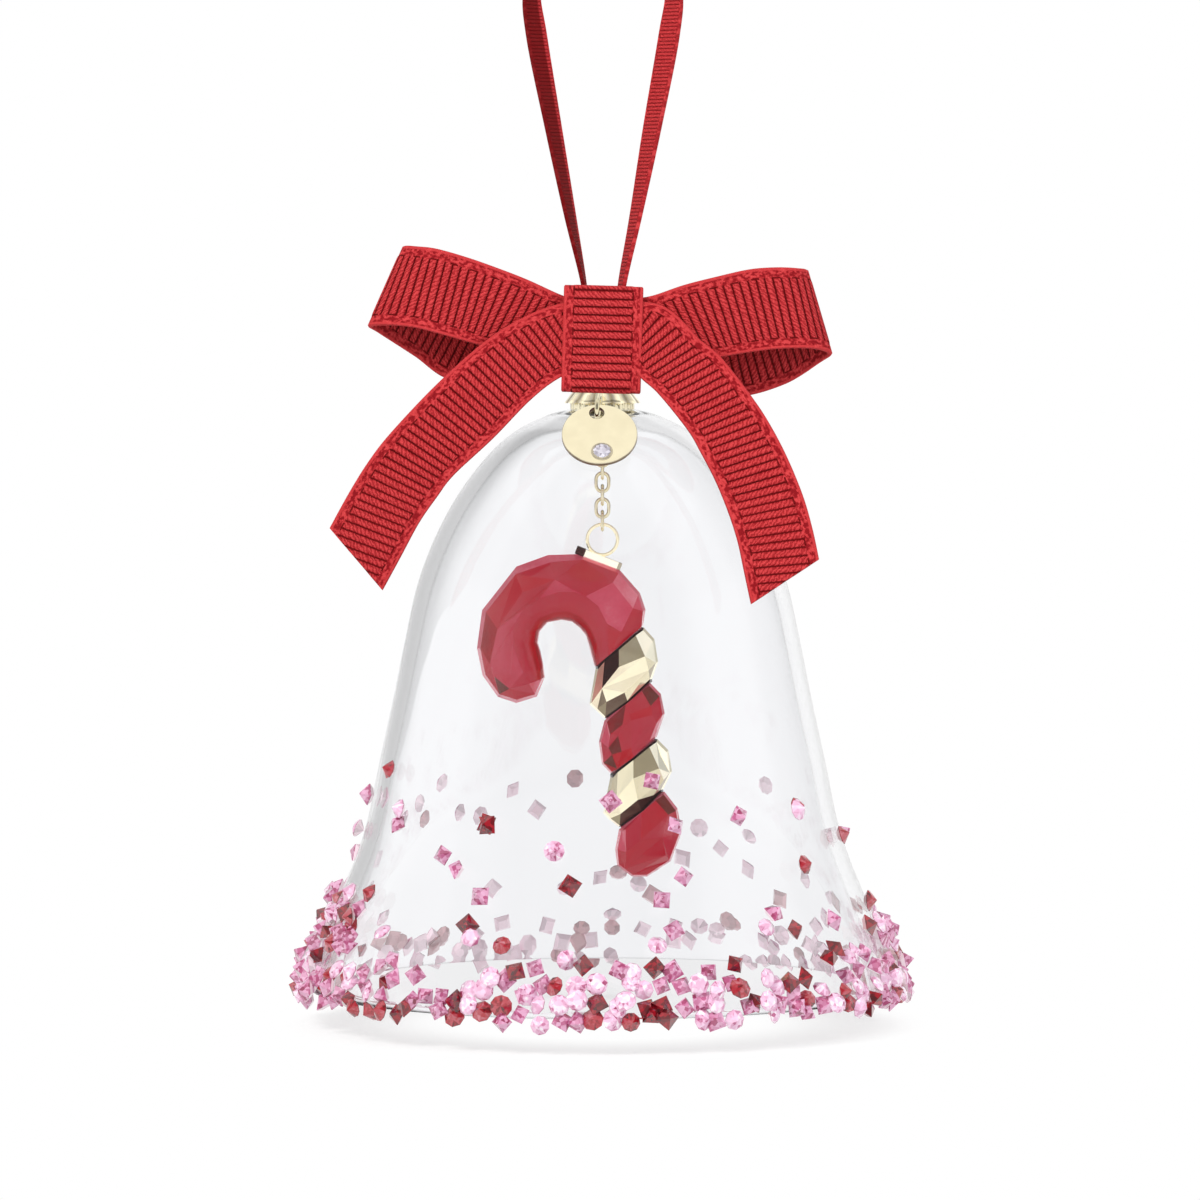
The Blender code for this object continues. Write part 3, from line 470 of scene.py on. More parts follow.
# Stations: across, forward (-) and above the cap's foot, then the width across and up.
bow = {
    "loopLeft": (
        (-0.5, -7.4, 9.1, 0.6, 8.6), (-3.6, -7.7, 9.2, 1.8, 8.6), (-6.8, -8.3, 9.7, 3.7, 8.5),
        (-11.5, -9.0, 11.6, 4.2, 8.7), (-14.6, -9.2, 12.7, 3.1, 9.3),
        (-18.0, -9.3, 13.8, 2.4, 9.7), (-21.7, -9.2, 14.8, 2.4, 9.8),
        (-24.5, -8.4, 15.1, 3.2, 9.8), (-26.6, -6.4, 15.0, 4.1, 10.0),
        (-25.4, -4.5, 14.0, 4.3, 9.7), (-21.1, -3.4, 10.6, 4.2, 8.6), (-17.0, -3.4, 7.8, 4.0, 8.7),
        (-11.5, -3.8, 7.3, 2.0, 9.2), (-4.9, -5.0, 9.1, 0.2, 7.8), (-0.5, -5.4, 9.4, 0.0, 7.8),
    ),
    "loopRight": (
        (0.5, -7.4, 9.1, -0.6, 8.6), (4.4, -7.8, 9.3, -2.6, 8.4), (8.2, -8.6, 9.8, -4.6, 8.0),
        (12.0, -9.0, 10.7, -4.2, 8.9), (15.6, -9.2, 11.5, -3.3, 9.4),
        (19.4, -9.3, 12.2, -2.9, 9.8), (22.4, -9.3, 12.4, -2.6, 9.9),
        (25.1, -8.4, 12.3, -2.7, 9.9), (26.7, -6.4, 11.8, -3.3, 10.2),
        (25.6, -4.5, 10.5, -3.1, 9.7), (21.1, -3.4, 7.6, -3.2, 9.4), (15.3, -3.4, 6.3, -2.4, 9.9),
        (9.5, -4.0, 7.4, -0.8, 9.5), (4.9, -5.0, 9.1, 0.0, 7.8), (0.5, -5.4, 9.4, 0.0, 7.8),
    ),
    "tailLeft": (
        (-0.5, -8.8, 9.2, -2.0, 8.4), (-3.9, -9.3, 8.9, -4.8, 7.4), (-8.1, -10.0, 7.2, -6.0, 6.6),
        (-12.0, -10.8, 4.4, -6.6, 6.4), (-17.1, -11.1, -0.5, -7.5, 6.1),
        (-22.2, -11.0, -5.6, -8.0, 4.9), (-24.6, -10.7, -8.7, -8.6, 4.1),
        (-26.9, -10.3, -12.2, -8.8, 3.4), (-29.2, -9.9, -16.4, -9.0, 3.1),
    ),
    "tailRight": (
        (0.5, -8.8, 9.2, 2.0, 8.2), (4.2, -9.3, 9.6, 4.6, 6.8), (6.2, -9.8, 8.6, 6.0, 5.7),
        (8.3, -10.5, 6.2, 7.1, 5.0), (10.8, -11.3, 4.0, 7.7, 4.6), (14.5, -12.9, -0.7, 8.1, 3.9),
        (16.4, -14.0, -3.8, 8.6, 3.4), (18.3, -15.2, -7.5, 8.8, 3.0),
        (20.0, -16.3, -11.7, 9.1, 2.3), (21.1, -17.2, -15.4, 9.2, 1.6),
        (21.8, -17.8, -18.7, 9.3, 1.1),
    ),
    "tailCut": {"tailLeft": 5.0, "tailRight": 4.8},   # how much longer the lower edge is
    "lean": 1.6,               # the wrap's lean, which the whole bow shares
    "wrapWidth": 9.8,
    "wrapCorner": 0.8,
    "wrapCorners": ((-10.6, 1.45), (-9.7, 15.1), (-2.2, 14.9), (-2.2, 4.9)),
    "cutWidth": 10,            # the 3/8 inch ribbon it is tied from
    "steps": 14,               # points from one station to the next
}

# The hanging ribbon: across, forward (-) and above the eyelet's middle, then how far
# its width turns from fore-and-aft towards across. It goes up to a hook out of view.
hanging = {
    "width": 3.0,
    "pinched": 1.3,
    "pinchedStations": 3,
    "litEdge": 0.6,            # the first strand is in shade up to here, from its middle
    "ribPitch": 0.46,
    "selvage": 0.22,
    "depth": 0.55,             # how deep its weave is beside the bow's
    "shade": 0.8,
    "shadeUntil": 0.46,        # as a share of the length
    "steps": 12,
    "eyeletAboveFoot": 4.75,
    "route": (
        (-0.2, 0.0, 0.45, 0), (-1.4, 0.0, 0.8, 0), (-1.95, -0.1, 2.6, 4),
        (-2.0, -0.35, 6.0, 4), (-2.3, -0.35, 10.5, 5), (-4.0, 0.0, 19.0, 21),
        (-6.1, 0.0, 30.0, 37), (-8.2, 0.0, 41.5, 53), (-8.7, 0.0, 47.5, 34),
        (-6.6, 0.0, 53.0, 8), (0.0, 0.0, 56.0, 0), (6.6, 0.0, 53.0, 8),
        (8.8, 0.0, 47.5, 34), (8.3, 0.0, 41.5, 54), (6.2, 0.0, 30.0, 42),
        (4.15, 0.0, 19.0, 23), (2.45, -0.35, 10.5, 12), (2.1, -0.35, 6.0, 8),
        (1.95, -0.1, 2.6, 4), (1.4, 0.0, 0.8, 0), (0.2, 0.0, 0.45, 0),
    ),
}


def ribbonFinish(name, pitch, selvage, depth):
    # ribs of twisted yarn between grooves darkened as painted shade, some of them boxed in at
    # their ends
    finish = Finish(name, roughness=0.8, specular=0.12)
    weave = finish.attribute("weave", "Vector")
    along, across, edge = finish.parts(weave)
    shade = finish.attribute("shade", "Fac")
    wander = finish.noise(weave, 1.6, 3.0)
    count = along / pitch + (wander - 0.5) * 0.10
    phase = count.maths("FRACT")
    fromGroove = ((count + 0.5).maths("FRACT") - 0.5).maths("ABSOLUTE") * pitch
    width = grosgrain["grooveWidth"] * depth
    ragged = edge + (finish.noise(weave, 2.4, 2.0) - 0.5) * 0.35 * depth
    inside = finish.step(ragged, selvage - 0.16 * depth, selvage + 0.10 * depth)
    grooveShade = finish.step(fromGroove, 0.3 * width, 1.5 * width, 1.0, 0.0)
    side = across.maths("GREATER_THAN", 0.0)
    # two grooves in five turn along the selvage and box their rib in
    boxed = (count * 0.4 + side * 0.2 + 0.05).maths("FRACT").maths("LESS_THAN", 0.4)
    atEnd = finish.step((edge - selvage).maths("ABSOLUTE"), 0.04, 0.15, 1.0, 0.0) * boxed
    line = (grooveShade * inside).maths("MAXIMUM", atEnd * depth)
    slant = across + phase * pitch * 0.95 + wander * 1.1
    yarn = (slant / (0.56 * pitch) * math.tau).maths("SINE") * 0.5 + 0.5
    # painted shading: each rib is lighter along its crown and darker at its sides
    crown = 1.0 - (phase - 0.5).maths("ABSOLUTE") * 2.0
    fuzz = finish.noise(weave, 4.5, 5.0)
    knots = finish.noise(weave, 1.9, 3.0)
    ribbed = yarn * 0.46 + crown * 0.20 + fuzz * 0.34
    band = finish.step(knots, 0.38, 0.66) * 0.62 + fuzz * 0.30
    smooth = finish.step(edge, 0.28, 0.5, 0.62, 0.0) * depth
    banded = band.maths("MAXIMUM", smooth)
    tone = ribbed * inside + banded * (1.0 - inside)
    body = finish.ramp(tone, (0.22, grosgrain["low"]), (0.48, grosgrain["middle"]),
                       (0.80, grosgrain["high"]))
    # painted shade in the grooves and in the lines that box the ribs in
    dark = finish.blend(line * 0.92 * depth, body, grosgrain["grooveShade"])
    finish.feed("colour", finish.blend(shade, dark, grosgrain["grooveShade"]))
    finish.bump(yarn * inside * 0.7 + fuzz * 0.5 + knots * (1.0 - inside) * 0.9, 0.6 * depth, 0.16)
    return finish


def ribbonMesh(name, line, pitch, selvage, closed=False, cut=0.0):
    # a woven band along a dense line of rows (place, width), its ribs as real relief
    centre, across = line[:, :3], line[:, 3:]
    step = np.roll(centre, -1, 0) - np.roll(centre, 1, 0)
    if not closed:
        step[0] = centre[1] - centre[0]
        step[-1] = centre[-1] - centre[-2]
    along = step / np.linalg.norm(step, axis=1, keepdims=True)
    through = np.cross(along, across)
    through /= np.linalg.norm(through, axis=1, keepdims=True)
    if closed:
        centre, across, through = (np.vstack((a, a[:1])) for a in (centre, across, through))
    distance = np.concatenate(([0], np.cumsum(np.linalg.norm(np.diff(centre, axis=0), axis=1))))
    length = distance[-1]
    if closed:
        pitch = length / round(length / pitch)
    rows = [(rib + phase) * pitch for rib in range(int(length / pitch) + 1)
            for phase in grosgrain["ribRows"]]
    rows = np.array([u for u in rows if u < length - 0.02] + ([] if closed else [length]))
    half = np.linalg.norm(across, axis=1).mean() / 2
    edges = [e * selvage for e in grosgrain["edgeColumns"] if e * selvage < half * 0.8]
    shares = np.array([e / half / 2 for e in edges])
    shares = np.concatenate((shares, [0.5], 1 - shares[::-1])) - 0.5
    if cut:                                    # the end is cut across on the slant
        bend = along[-1] - along[-8]
        count, step = grosgrain["beyond"]
        past = np.arange(1, count + 1) * step
        beyond = [centre[-1] + along[-1] * d + bend * d * d / 6 for d in past]
        centre = np.vstack((centre, beyond))
        across, through = (np.vstack((a, np.repeat(a[-1:], count, 0))) for a in (across, through))
        distance = np.append(distance, length + past)
    slant = grosgrain["slantFrom"]
    shear = cut * np.clip((rows - (length - slant)) / slant, 0, 1) ** 1.5
    u = rows[:, None] + shear[:, None] * (0.5 - shares[None, :])
    v = np.broadcast_to(shares[None, :] * 2 * half, u.shape)
    edge = half - np.abs(v)

    def at(table):
        return np.stack([np.interp(u, distance, table[:, k]) for k in range(3)], -1)

    inside = np.clip((edge - selvage + 0.1) / 0.2, 0, 1)
    phase = u / pitch % 1
    rib = np.sqrt(np.clip(1 - (2 * phase - 1) ** 2, 0, 1))
    relief = grosgrain["ribHeight"] * (inside * rib + (1 - inside) * 0.62)
    relief = np.where(edge < 0.02, -0.06, relief) * min(1.0, pitch / 0.8)
    lift = (grosgrain["thickness"] / 2 + relief)[..., None]
    middle, side, out = at(centre), at(across), at(through)
    flat = middle + side * shares[None, :, None]
    front, back = flat + out * lift, flat - out * lift
    ring = np.concatenate((front, back[:, ::-1]), 1)
    rowCount, columnCount = ring.shape[:2]
    index = np.arange(rowCount * columnCount).reshape(rowCount, columnCount)
    if closed:
        index = np.vstack((index, index[:1]))
    turn = np.roll(index, -1, 1)
    faces = np.stack((index[:-1], index[1:], turn[1:], turn[:-1]), -1).reshape(-1, 4).tolist()
    if not closed:
        for row, order in ((index[0], 1), (index[-1], -1)):
            for j in range(len(shares) - 1):
                k = columnCount - 1 - j
                faces.append([int(row[n]) for n in (j, j + 1, k - 1, k)[::order]])
    mesh = bpy.data.meshes.new(name)
    mesh.from_pydata((ring * mm).reshape(-1, 3).tolist(), [], faces)
    both = [np.concatenate((a, a[:, ::-1]), 1) for a in (u, v, edge)]
    weave = mesh.attributes.new("weave", "FLOAT_VECTOR", "POINT")
    weave.data.foreach_set("vector", np.stack(both, -1).ravel().astype(np.float32))
    bm = bmesh.new()
    bm.from_mesh(mesh)
    bmesh.ops.recalc_face_normals(bm, faces=bm.faces)
    bm.to_mesh(mesh)
    bm.free()
    return mesh, length, both


def bowLine(stations):
    lean = np.array(tilted(bow["lean"], "Y", 3))
    rows = np.insert(np.array(stations, float), 4, 0.0, axis=1)
    rows[:, 2] += capFoot
    rows[:, 3:] = rows[:, 3:] @ lean.T
    return smoothLine(rows, bow["steps"])


def wrapLine():
    # the short piece round the bow's middle: a closed outline with rounded corners
    corners = [Vector((0, y, z + capFoot)) for y, z in bow["wrapCorners"]]
    radius = bow["wrapCorner"] - grosgrain["thickness"] / 2
    inset = grosgrain["thickness"] / 2 + grosgrain["ribHeight"] * 0.5
    points = []
    for i, corner in enumerate(corners):
        back = (corners[i - 1] - corner).normalized()
        ahead = (corners[(i + 1) % len(corners)] - corner).normalized()
        halfAngle = back.angle(ahead) / 2
        bisector = (back + ahead).normalized()
        corner = corner + bisector * inset / math.sin(halfAngle)
        centre = corner + bisector * radius / math.sin(halfAngle)
        start = corner + back * radius / math.tan(halfAngle) - centre
        end = corner + ahead * radius / math.tan(halfAngle) - centre
        axis = start.cross(end)
        for step in range(9):
            points.append(centre + Matrix.Rotation(start.angle(end) * step / 8, 3, axis) @ start)
    dense = []
    for i, point in enumerate(points):
        ahead = points[(i + 1) % len(points)]
        count = max(1, int((ahead - point).length / 0.3))
        dense += [point.lerp(ahead, k / count) for k in range(count)]
    middle = sum(corners, Vector()) / len(corners)
    lean = tilted(bow["lean"], "Y", 3)
    side = lean @ axisX * bow["wrapWidth"]
    return np.array([[*(middle + lean @ (point - middle)), *side] for point in dense])


def makeBow():
    weave = grosgrain["ribPitch"], grosgrain["selvage"]
    finish = ribbonFinish("redGrosgrain", *weave, 1.0)
    kinds = {"loopLeft": "bow_loop_left", "loopRight": "bow_loop_right",
             "tailLeft": "bow_tail_left", "tailRight": "bow_tail_right"}
    lengths = {}
    for kind, node in kinds.items():
        cut = bow["tailCut"].get(kind, 0.0)
        mesh, length = ribbonMesh(kind, bowLine(bow[kind]), *weave, cut=cut)[:2]
        piece = addPiece(kind, mesh, [finish], "bell", [node])
        piece.visible_glossy = False
        lengths[kind] = round(length, 1)
    mesh, length = ribbonMesh("knotWrap", wrapLine(), *weave, closed=True)[:2]
    wrap = addPiece("knotWrap", mesh, [finish], "bell", ["bow_knot_wrap"])
    wrap.visible_glossy = False
    lengths["knotWrap"] = round(length, 1)
    print("bow:", lengths)


def makeHangingRibbon():
    eyelet = Vector((0, 0, capFoot + hanging["eyeletAboveFoot"]))
    last = len(hanging["route"]) - 1
    stations = []
    for i, (x, y, z, degrees) in enumerate(hanging["route"]):
        pinched = min(i, last - i) < hanging["pinchedStations"]
        size = hanging["pinched"] if pinched else hanging["width"]
        turn = math.radians(degrees) * (1 if i < last / 2 else -1)
        stations.append((*(eyelet + Vector((x, y, z))),
                         math.sin(turn) * size, math.cos(turn) * size, 0))
    line = smoothLine(stations, hanging["steps"])
    weave = hanging["ribPitch"], hanging["selvage"]
    mesh, length, places = ribbonMesh("hangingRibbon", line, *weave)
    along, across = (a.ravel() for a in places[:2])
    shaded = (along < length * hanging["shadeUntil"]) & (across < hanging["litEdge"])
    shade = mesh.attributes.new("shade", "FLOAT", "POINT")
    shade.data.foreach_set("value", (shaded * hanging["shade"]).astype(np.float32))
    finish = ribbonFinish("redNarrowRibbon", *weave, hanging["depth"])
    piece = addPiece("hangingRibbon", mesh, [finish], "bell", ["hang_ribbon"])
    piece.visible_glossy = False
    print("hanging ribbon:", round(length, 1), "mm")


bell = {
    "radius": 36.9,
    "height": 72.7,
    "wall": 1.8,
    "holeRadius": 1.2,
    "segments": 144,
    # the outline from the rim up: shares of the radius and of the height
    "outline": (
        (1.000, 0.007), (0.986, 0.040), (0.943, 0.098), (0.897, 0.152), (0.840, 0.222),
        (0.797, 0.290), (0.755, 0.393), (0.710, 0.497), (0.669, 0.600), (0.626, 0.697),
        (0.564, 0.780), (0.483, 0.855), (0.378, 0.923), (0.280, 0.964), (0.171, 0.989),
        (0.114, 0.996),
    ),
    # the fire-polished foot: out from the outer edge of the rim, and up
    "foot": ((-1.8, 1.0), (-1.68, 0.35), (-1.35, 0.02), (-0.7, 0.0), (-0.2, 0.12)),
    "innerTop": 3.5,           # the radius at which the inner wall meets its hole
    "clear": (0.973, 0.975, 0.985),
    # painted shade: the colour the glass takes at its outline, where it turns edge-on to the view
    "edge": (0.93, 0.935, 0.95),
}

outerWall = smoothLine([(r * bell["radius"], z * bell["height"]) for r, z in bell["outline"]], 6)


def glassAt(height):
    # the outer wall's radius at a height, and its outward normal as (radial, up)
    height = max(height, outerWall[0][1])
    i = min(int(np.searchsorted(outerWall[:, 1], height, "right")), len(outerWall) - 1)
    low, high = outerWall[i - 1], outerWall[i]
    share = (height - low[1]) / (high[1] - low[1])
    slope = (high - low) / np.linalg.norm(high - low)
    return low[0] + share * (high[0] - low[0]), (slope[1], -slope[0])


def glassFinish():
    finish = Finish("clearGlass", roughness=0.0, transmission=1.0, ior=1.5)
    # painted shade: darker towards the outline, where the surface turns edge-on to the view
    edgeOn = finish.node("ShaderNodeLayerWeight", {}, {"Blend": 0.5}, "Facing")
    edgeShade = finish.step(edgeOn, 0.45, 1.0)
    ripple = finish.noise(finish.place(), 28.0, 1.0)
    finish.feed("colour", finish.blend(edgeShade * 0.8 + ripple * 0.06, bell["clear"], bell["edge"]))
    return finish


def makeBell():
    wall = bell["wall"]
    inner = []
    for i in range(3, len(outerWall) - 1):
        along = outerWall[i + 1] - outerWall[i - 1]
        along = along / np.linalg.norm(along)
        point = outerWall[i] + wall * np.array((-along[1], along[0]))
        if point[0] > bell["innerTop"] and point[1] > wall * 0.9:
            inner.append(tuple(point))
    foot = [(outerWall[0][0] + out, up) for out, up in bell["foot"]]
    top = [(bell["holeRadius"], bell["height"]), (bell["holeRadius"], bell["height"] - wall)]
    outline = [*foot, *(tuple(p) for p in outerWall), *top, *reversed(inner)]
    bm = turned(bmesh.new(), outline, bell["segments"])
    addPiece("glassBell", meshOf("glassBell", bm), [glassFinish()], "bell",
             ["bell_glass"])
    print("glass bell:", len(outline), "points in its outline")


gold = {
    "colour": (0.93, 0.86, 0.62),
    "deep": (0.80, 0.70, 0.46),
    "roughness": 0.14,
    "cutRoughness": 0.16,
    "clouds": (900.0, 500.0),  # patches to a metre, on plain and on cut gold
    "wear": 2600.0,
    "glow": 0.30,              # painted light: a glow that stands for the lamps, which metal here doesn't mirror
    # for faceted gold, as painted reflection: from the painted shade in the gaps to the brightest
    # facet
    "tones": (
        (0.0, (0.012, 0.002, 0.002)), (0.1, (0.05, 0.012, 0.010)), (0.2, (0.13, 0.085, 0.06)),
        (0.4, (0.32, 0.27, 0.17)), (0.55, (0.45, 0.40, 0.32)), (0.75, (0.72, 0.64, 0.44)),
        (0.9, (0.92, 0.84, 0.60)), (1.0, (1.0, 0.96, 0.78)),
    ),
}

cap = {
    "collar": ((1.1, 73.35), (3.9, 73.35), (4.0, 73.25), (4.0, 72.45), (3.9, 72.37),
               (3.45, 72.37), (3.45, 73.0), (1.1, 73.0)),
    "collarFlutes": 26,
    "fluteDepth": 0.09,
    "crown": ((1.1, 75.25), (2.4, 75.15), (3.1, 74.85), (3.65, 74.5), (3.9, 74.2), (4.25, 73.75),
              (4.6, 73.3), (4.45, 73.22), (4.05, 73.6), (3.75, 73.75), (1.1, 73.72)),
    "petals": 12,
    # how much of a petal each point of that outline gets
    "petalShares": (0, 0.3, 0.6, 0.9, 1.0, 1.0, 1.0, 1.0, 0.7, 0.3, 0),
    "petalSwell": 0.2,
    "petalDrop": 0.10,
    "veinHeight": 0.05,
    "veinWidth": 0.004,
    "petalShading": (0.38, 0.52),    # painted shade in the folds, and how much lighter the petals are painted
    "lug": (-0.25, -5.3, 74.805),
    "lugRadius": 1.0,
    "lugWire": 0.25,
    "lugNeck": (0.9, 1.8, 0.36),   # how far behind the lug it starts and ends, its radius
    "eyelet": 77.45,
    "eyeletRadius": 1.5,
    "eyeletWire": 0.35,
    "shankRadius": 0.8,
    "shankFoot": 69.55,
    "washer": ((1.1, 70.6), (2.1, 70.6), (2.2, 70.5), (2.2, 70.25), (2.1, 70.15), (1.1, 70.15)),
    "nut": ((1.1, 69.85), (1.8, 69.85), (1.9, 69.75), (1.9, 69.05), (1.75, 68.9), (0.05, 68.9),
            (0.05, 69.25), (1.1, 69.25)),
    "nutFlats": 6,
    "nutRadius": 1.75,
    "eyeSag": 0.3,             # the play between the eye and the first link
}

chain = {
    "links": 6,
    "halfLength": 1.15,
    "halfWidth": 0.79,
    "wire": 0.21,
    "bailRadius": 1.9,
    "bailTone": 0.88,
    "bar": (6.0, 2.4, 0.85),
    "barSlope": 20.8,
    "barShift": -0.35,
    "barSink": 0.1,
    "barBevel": 0.05,
    # its blocks: where each starts and ends along it, how much wider it is, and its painted tone
    "blocks": ((0.0, 0.19, 0.12, 0.07), (0.19, 0.93, 0.0, 1.0), (0.93, 1.0, 0.02, 0.52)),
}

tag = {
    "radius": 4.65,
    "thickness": 0.55,
    "tilt": 40,
    "turn": -6,
    "holeFromEdge": 1.34,
    "holeRadius": 0.88,
    "stoneFromEdge": 7.45,
    "stoneRadius": 1.1,
    "ringWire": 0.3,
    "ringHalfWidth": 1.35,
    "bevel": 0.07,
    # tones on the cut-gold ramp, as painted reflection: its face, its bevel and edge, its hole,
    # darker as painted shade, and the clasp
    "faceTone": 0.79,
    "tones": (0.62, 0.24),     # its bevel and its edge
    "holeTone": 0.14,
    "claspTone": 0.6,
    "claspGap": 0.12,          # between the stone and the wire round it
    "claspWire": 0.14,
    "grains": 6,               # tiny grains that hold the stone
    "grainRadius": 0.13,
    "grainReach": 0.98,
    "stoneSink": 0.12,
    "stoneSides": 10,
    "stoneHeight": 0.42,
    "rimSteps": 96,
    "holeSteps": 32,
}


def goldFinish():
    roughness = gold["roughness"]
    finish = Finish("paleGold", metallic=1.0, roughness=roughness)
    where = finish.place()
    cloud = finish.noise(where, gold["clouds"][0])
    finish.feed("colour", finish.ramp(cloud, (0.3, gold["deep"]), (0.62, gold["colour"])))
    worn = finish.noise(where, gold["wear"], 3.0)
    finish.feed("roughness", roughness + (worn - 0.5) * 0.08)
    return finish


def tonedGoldFinish():
    # cut gold: each facet is painted with a tone that stands for the part of the room it would
    # mirror, a painted reflection
    finish = Finish("goldFacets", metallic=1.0, roughness=gold["cutRoughness"])
    facet = finish.attribute("facet", "Fac")
    cloud = finish.noise(finish.place(), gold["clouds"][1])
    colour = finish.ramp(facet + (cloud - 0.5) * 0.09, *gold["tones"])
    finish.feed("colour", colour)
    # painted light: the facets glow with their painted tone
    finish.feed("glow", colour)
    finish.feed("glowStrength", gold["glow"])
    return finish


def makeCap(finish, toned):
    flutes = cap["collarFlutes"]

    def fluted(angle, number):
        if number not in (2, 3):
            return 0.0, 0.0
        return -cap["fluteDepth"] * abs(math.sin(flutes * angle / 2)) ** 6, 0.0

    collar = turned(bmesh.new(), cap["collar"], flutes * 8, fluted)
    addGold("capCollar", collar, finish, "bell", "cap_collar")

    def petalAt(angle):
        # 1 along a petal's middle, 0 in the fold beside it
        return abs(math.cos(cap["petals"] * angle / 2))

    def petalled(angle, number):
        # each petal swells in its middle, has a raised vein, and ends in a low point
        petal = petalAt(angle)
        vein = math.exp(-((1 - petal) / cap["veinWidth"]) ** 2) * cap["veinHeight"]
        share = cap["petalShares"][number]
        drop = -cap["petalDrop"] * (petal - 0.5) * share if 4 < number < 9 else 0.0
        return share * (cap["petalSwell"] * (petal - 0.6) + vein), drop

    crown = turned(bmesh.new(), cap["crown"], cap["petals"] * 14, petalled)
    lug = Vector(cap["lug"])
    wire(crown, roundPath(lug, axisX, axisY, cap["lugRadius"], 28), axisZ, cap["lugWire"])
    start, end, radius = cap["lugNeck"]
    rod(crown, lug + axisY * start, lug + axisY * end, radius, 16)
    tone = crown.faces.layers.float.new("facet")
    fold, lighter = cap["petalShading"]
    # painted shade in the folds between petals and painted highlight along their middles
    for face in crown.faces:
        spot = face.calc_center_median()
        face[tone] = fold + lighter * petalAt(math.atan2(spot.y, spot.x)) ** 1.5
        face.smooth = True
    addGold("capCrown", crown, toned, "bell", "cap_crown", smooth=False)

    middle = Vector((0, 0, cap["eyelet"]))
    eyelet = wire(bmesh.new(), roundPath(middle, axisY, axisZ, cap["eyeletRadius"]), axisX,
                  cap["eyeletWire"], 14)
    rod(eyelet, Vector((0, 0, cap["shankFoot"])),
        middle - axisZ * (cap["eyeletRadius"] - 0.1), cap["shankRadius"])
    addGold("capEyelet", eyelet, finish, "bell", "cap_eyelet")
    washer = turned(bmesh.new(), cap["washer"], 64)
    addGold("innerWasher", washer, finish, "bell", "inner_washer")

    def hexagonal(angle, number):
        if number not in (1, 2, 3, 4):
            return 0.0, 0.0
        flat = math.pi / cap["nutFlats"]
        reach = math.cos(flat) / math.cos((angle % (2 * flat)) - flat)
        return cap["nutRadius"] * (reach - 1), 0.0

    nut = turned(bmesh.new(), cap["nut"], 72, hexagonal)
    above = 2 * chain["halfLength"] - 2 * chain["wire"] - cap["eyeSag"]
    eye = middleOf("chain_link_1") + axisZ * above
    wire(nut, ovalPath(eye, axisZ, axisY, chain["halfLength"], chain["halfWidth"]), axisX,
         chain["wire"])
    addGold("innerEye", nut, finish, "bell", "inner_eye")


def makeChain(finish):
    for number in range(1, chain["links"] + 1):
        node = f"chain_link_{number}"
        across, normal = (axisX, axisY) if number % 2 else (axisY, axisX)
        path = ovalPath(middleOf(node), axisZ, across, chain["halfLength"], chain["halfWidth"])
        link = wire(bmesh.new(), path, normal, chain["wire"], 12)
        addGold(f"chainLink{number}", link, finish, f"link_{number}", node)


def bailCentre():
    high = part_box("pendant_bail")[1]
    return Vector((0, 0, high[2] / mm - chain["wire"] - chain["bailRadius"]))


def makeBail(finish):
    centre = bailCentre()
    bail = wire(bmesh.new(), roundPath(centre, axisX, axisZ, chain["bailRadius"], 48), axisY,
                chain["wire"], 12)
    # the bail and its bar take tones on the cut-gold ramp, which paints their reflection
    tone = bail.faces.layers.float.new("facet")
    toneFaces(bail.faces, tone, chain["bailTone"], True)
    length, depth, thickness = chain["bar"]
    top = centre - axisZ * (chain["bailRadius"] + chain["wire"] - chain["barSink"])
    turn = tilted(chain["barSlope"], "Y")
    # the bar: a dark block at its upper end, the plain bar, and a slim block at the other
    for start, end, grow, shade in chain["blocks"]:
        start, end = length * (start - 0.5), length * (end - 0.5)
        middle = top + turn @ Vector((chain["barShift"] + (start + end) / 2, 0, -thickness / 2))
        size = Vector((end - start, depth + 2 * grow, thickness + grow)) * mm
        place = Matrix.Translation(middle * mm) @ turn @ Matrix.Diagonal((*size, 1))
        verts = bmesh.ops.create_cube(bail, size=1, matrix=place)["verts"]
        block = bmesh.ops.bevel(bail, geom=list({e for v in verts for e in v.link_edges}),
                                offset=chain["barBevel"] * mm, segments=1, affect="EDGES")
        for face in {f for v in block["verts"] for f in v.link_faces}:
            face[tone] = shade
    addGold("pendantBail", bail, finish, "cane", "pendant_bail", smooth=False)


def plate(bm, tone, matrix, middle, radius, hole, holeRadius, thickness, bevel):
    # a round flat plate with bevelled edges and one hole
    def circle(centre, size, steps):
        return [(centre[0] + size * math.cos(a), centre[1] + size * math.sin(a))
                for a in turns(steps)]

    outerCount, holeCount = tag["rimSteps"], tag["holeSteps"]
    rims = ((middle, radius, outerCount, 1), (hole, holeRadius, holeCount, -1))
    half = thickness / 2
    rings = []
    for centre, size, steps, sign in rims:
        rows = []
        for depth, cut in ((-half, bevel), (-half + bevel, 0), (half - bevel, 0), (half, bevel)):
            rows.append([bm.verts.new(matrix @ Vector((x, depth, z)) * mm)
                         for x, z in circle(centre, size - sign * cut, steps)])
        for number, (lower, upper) in enumerate(zip(rows, rows[1:])):
            for j in range(steps):
                k = (j + 1) % steps
                face = bm.faces.new((lower[j], lower[k], upper[k], upper[j]))
                face[tone] = tag["tones"][number % 2] if sign > 0 else tag["holeTone"]
                face.smooth = number == 1
        rings.append((rows[0], rows[-1]))
    flat = [Vector(p) for centre, size, steps, sign in rims
            for p in circle(centre, size - sign * bevel, steps)]
    edges = [(k, (k + 1) % outerCount) for k in range(outerCount)]
    edges += [(outerCount + k, outerCount + (k + 1) % holeCount) for k in range(holeCount)]
    triangles = geometry.delaunay_2d_cdt(flat, edges, [], 0, 1e-6)[2]
    for side in (0, 1):
        level = [*rings[0][side], *rings[1][side]]
        for t in triangles:
            if any(k < outerCount for k in t):
                face = bm.faces.new([level[k] for k in t])
                face[tone] = tag["faceTone"]


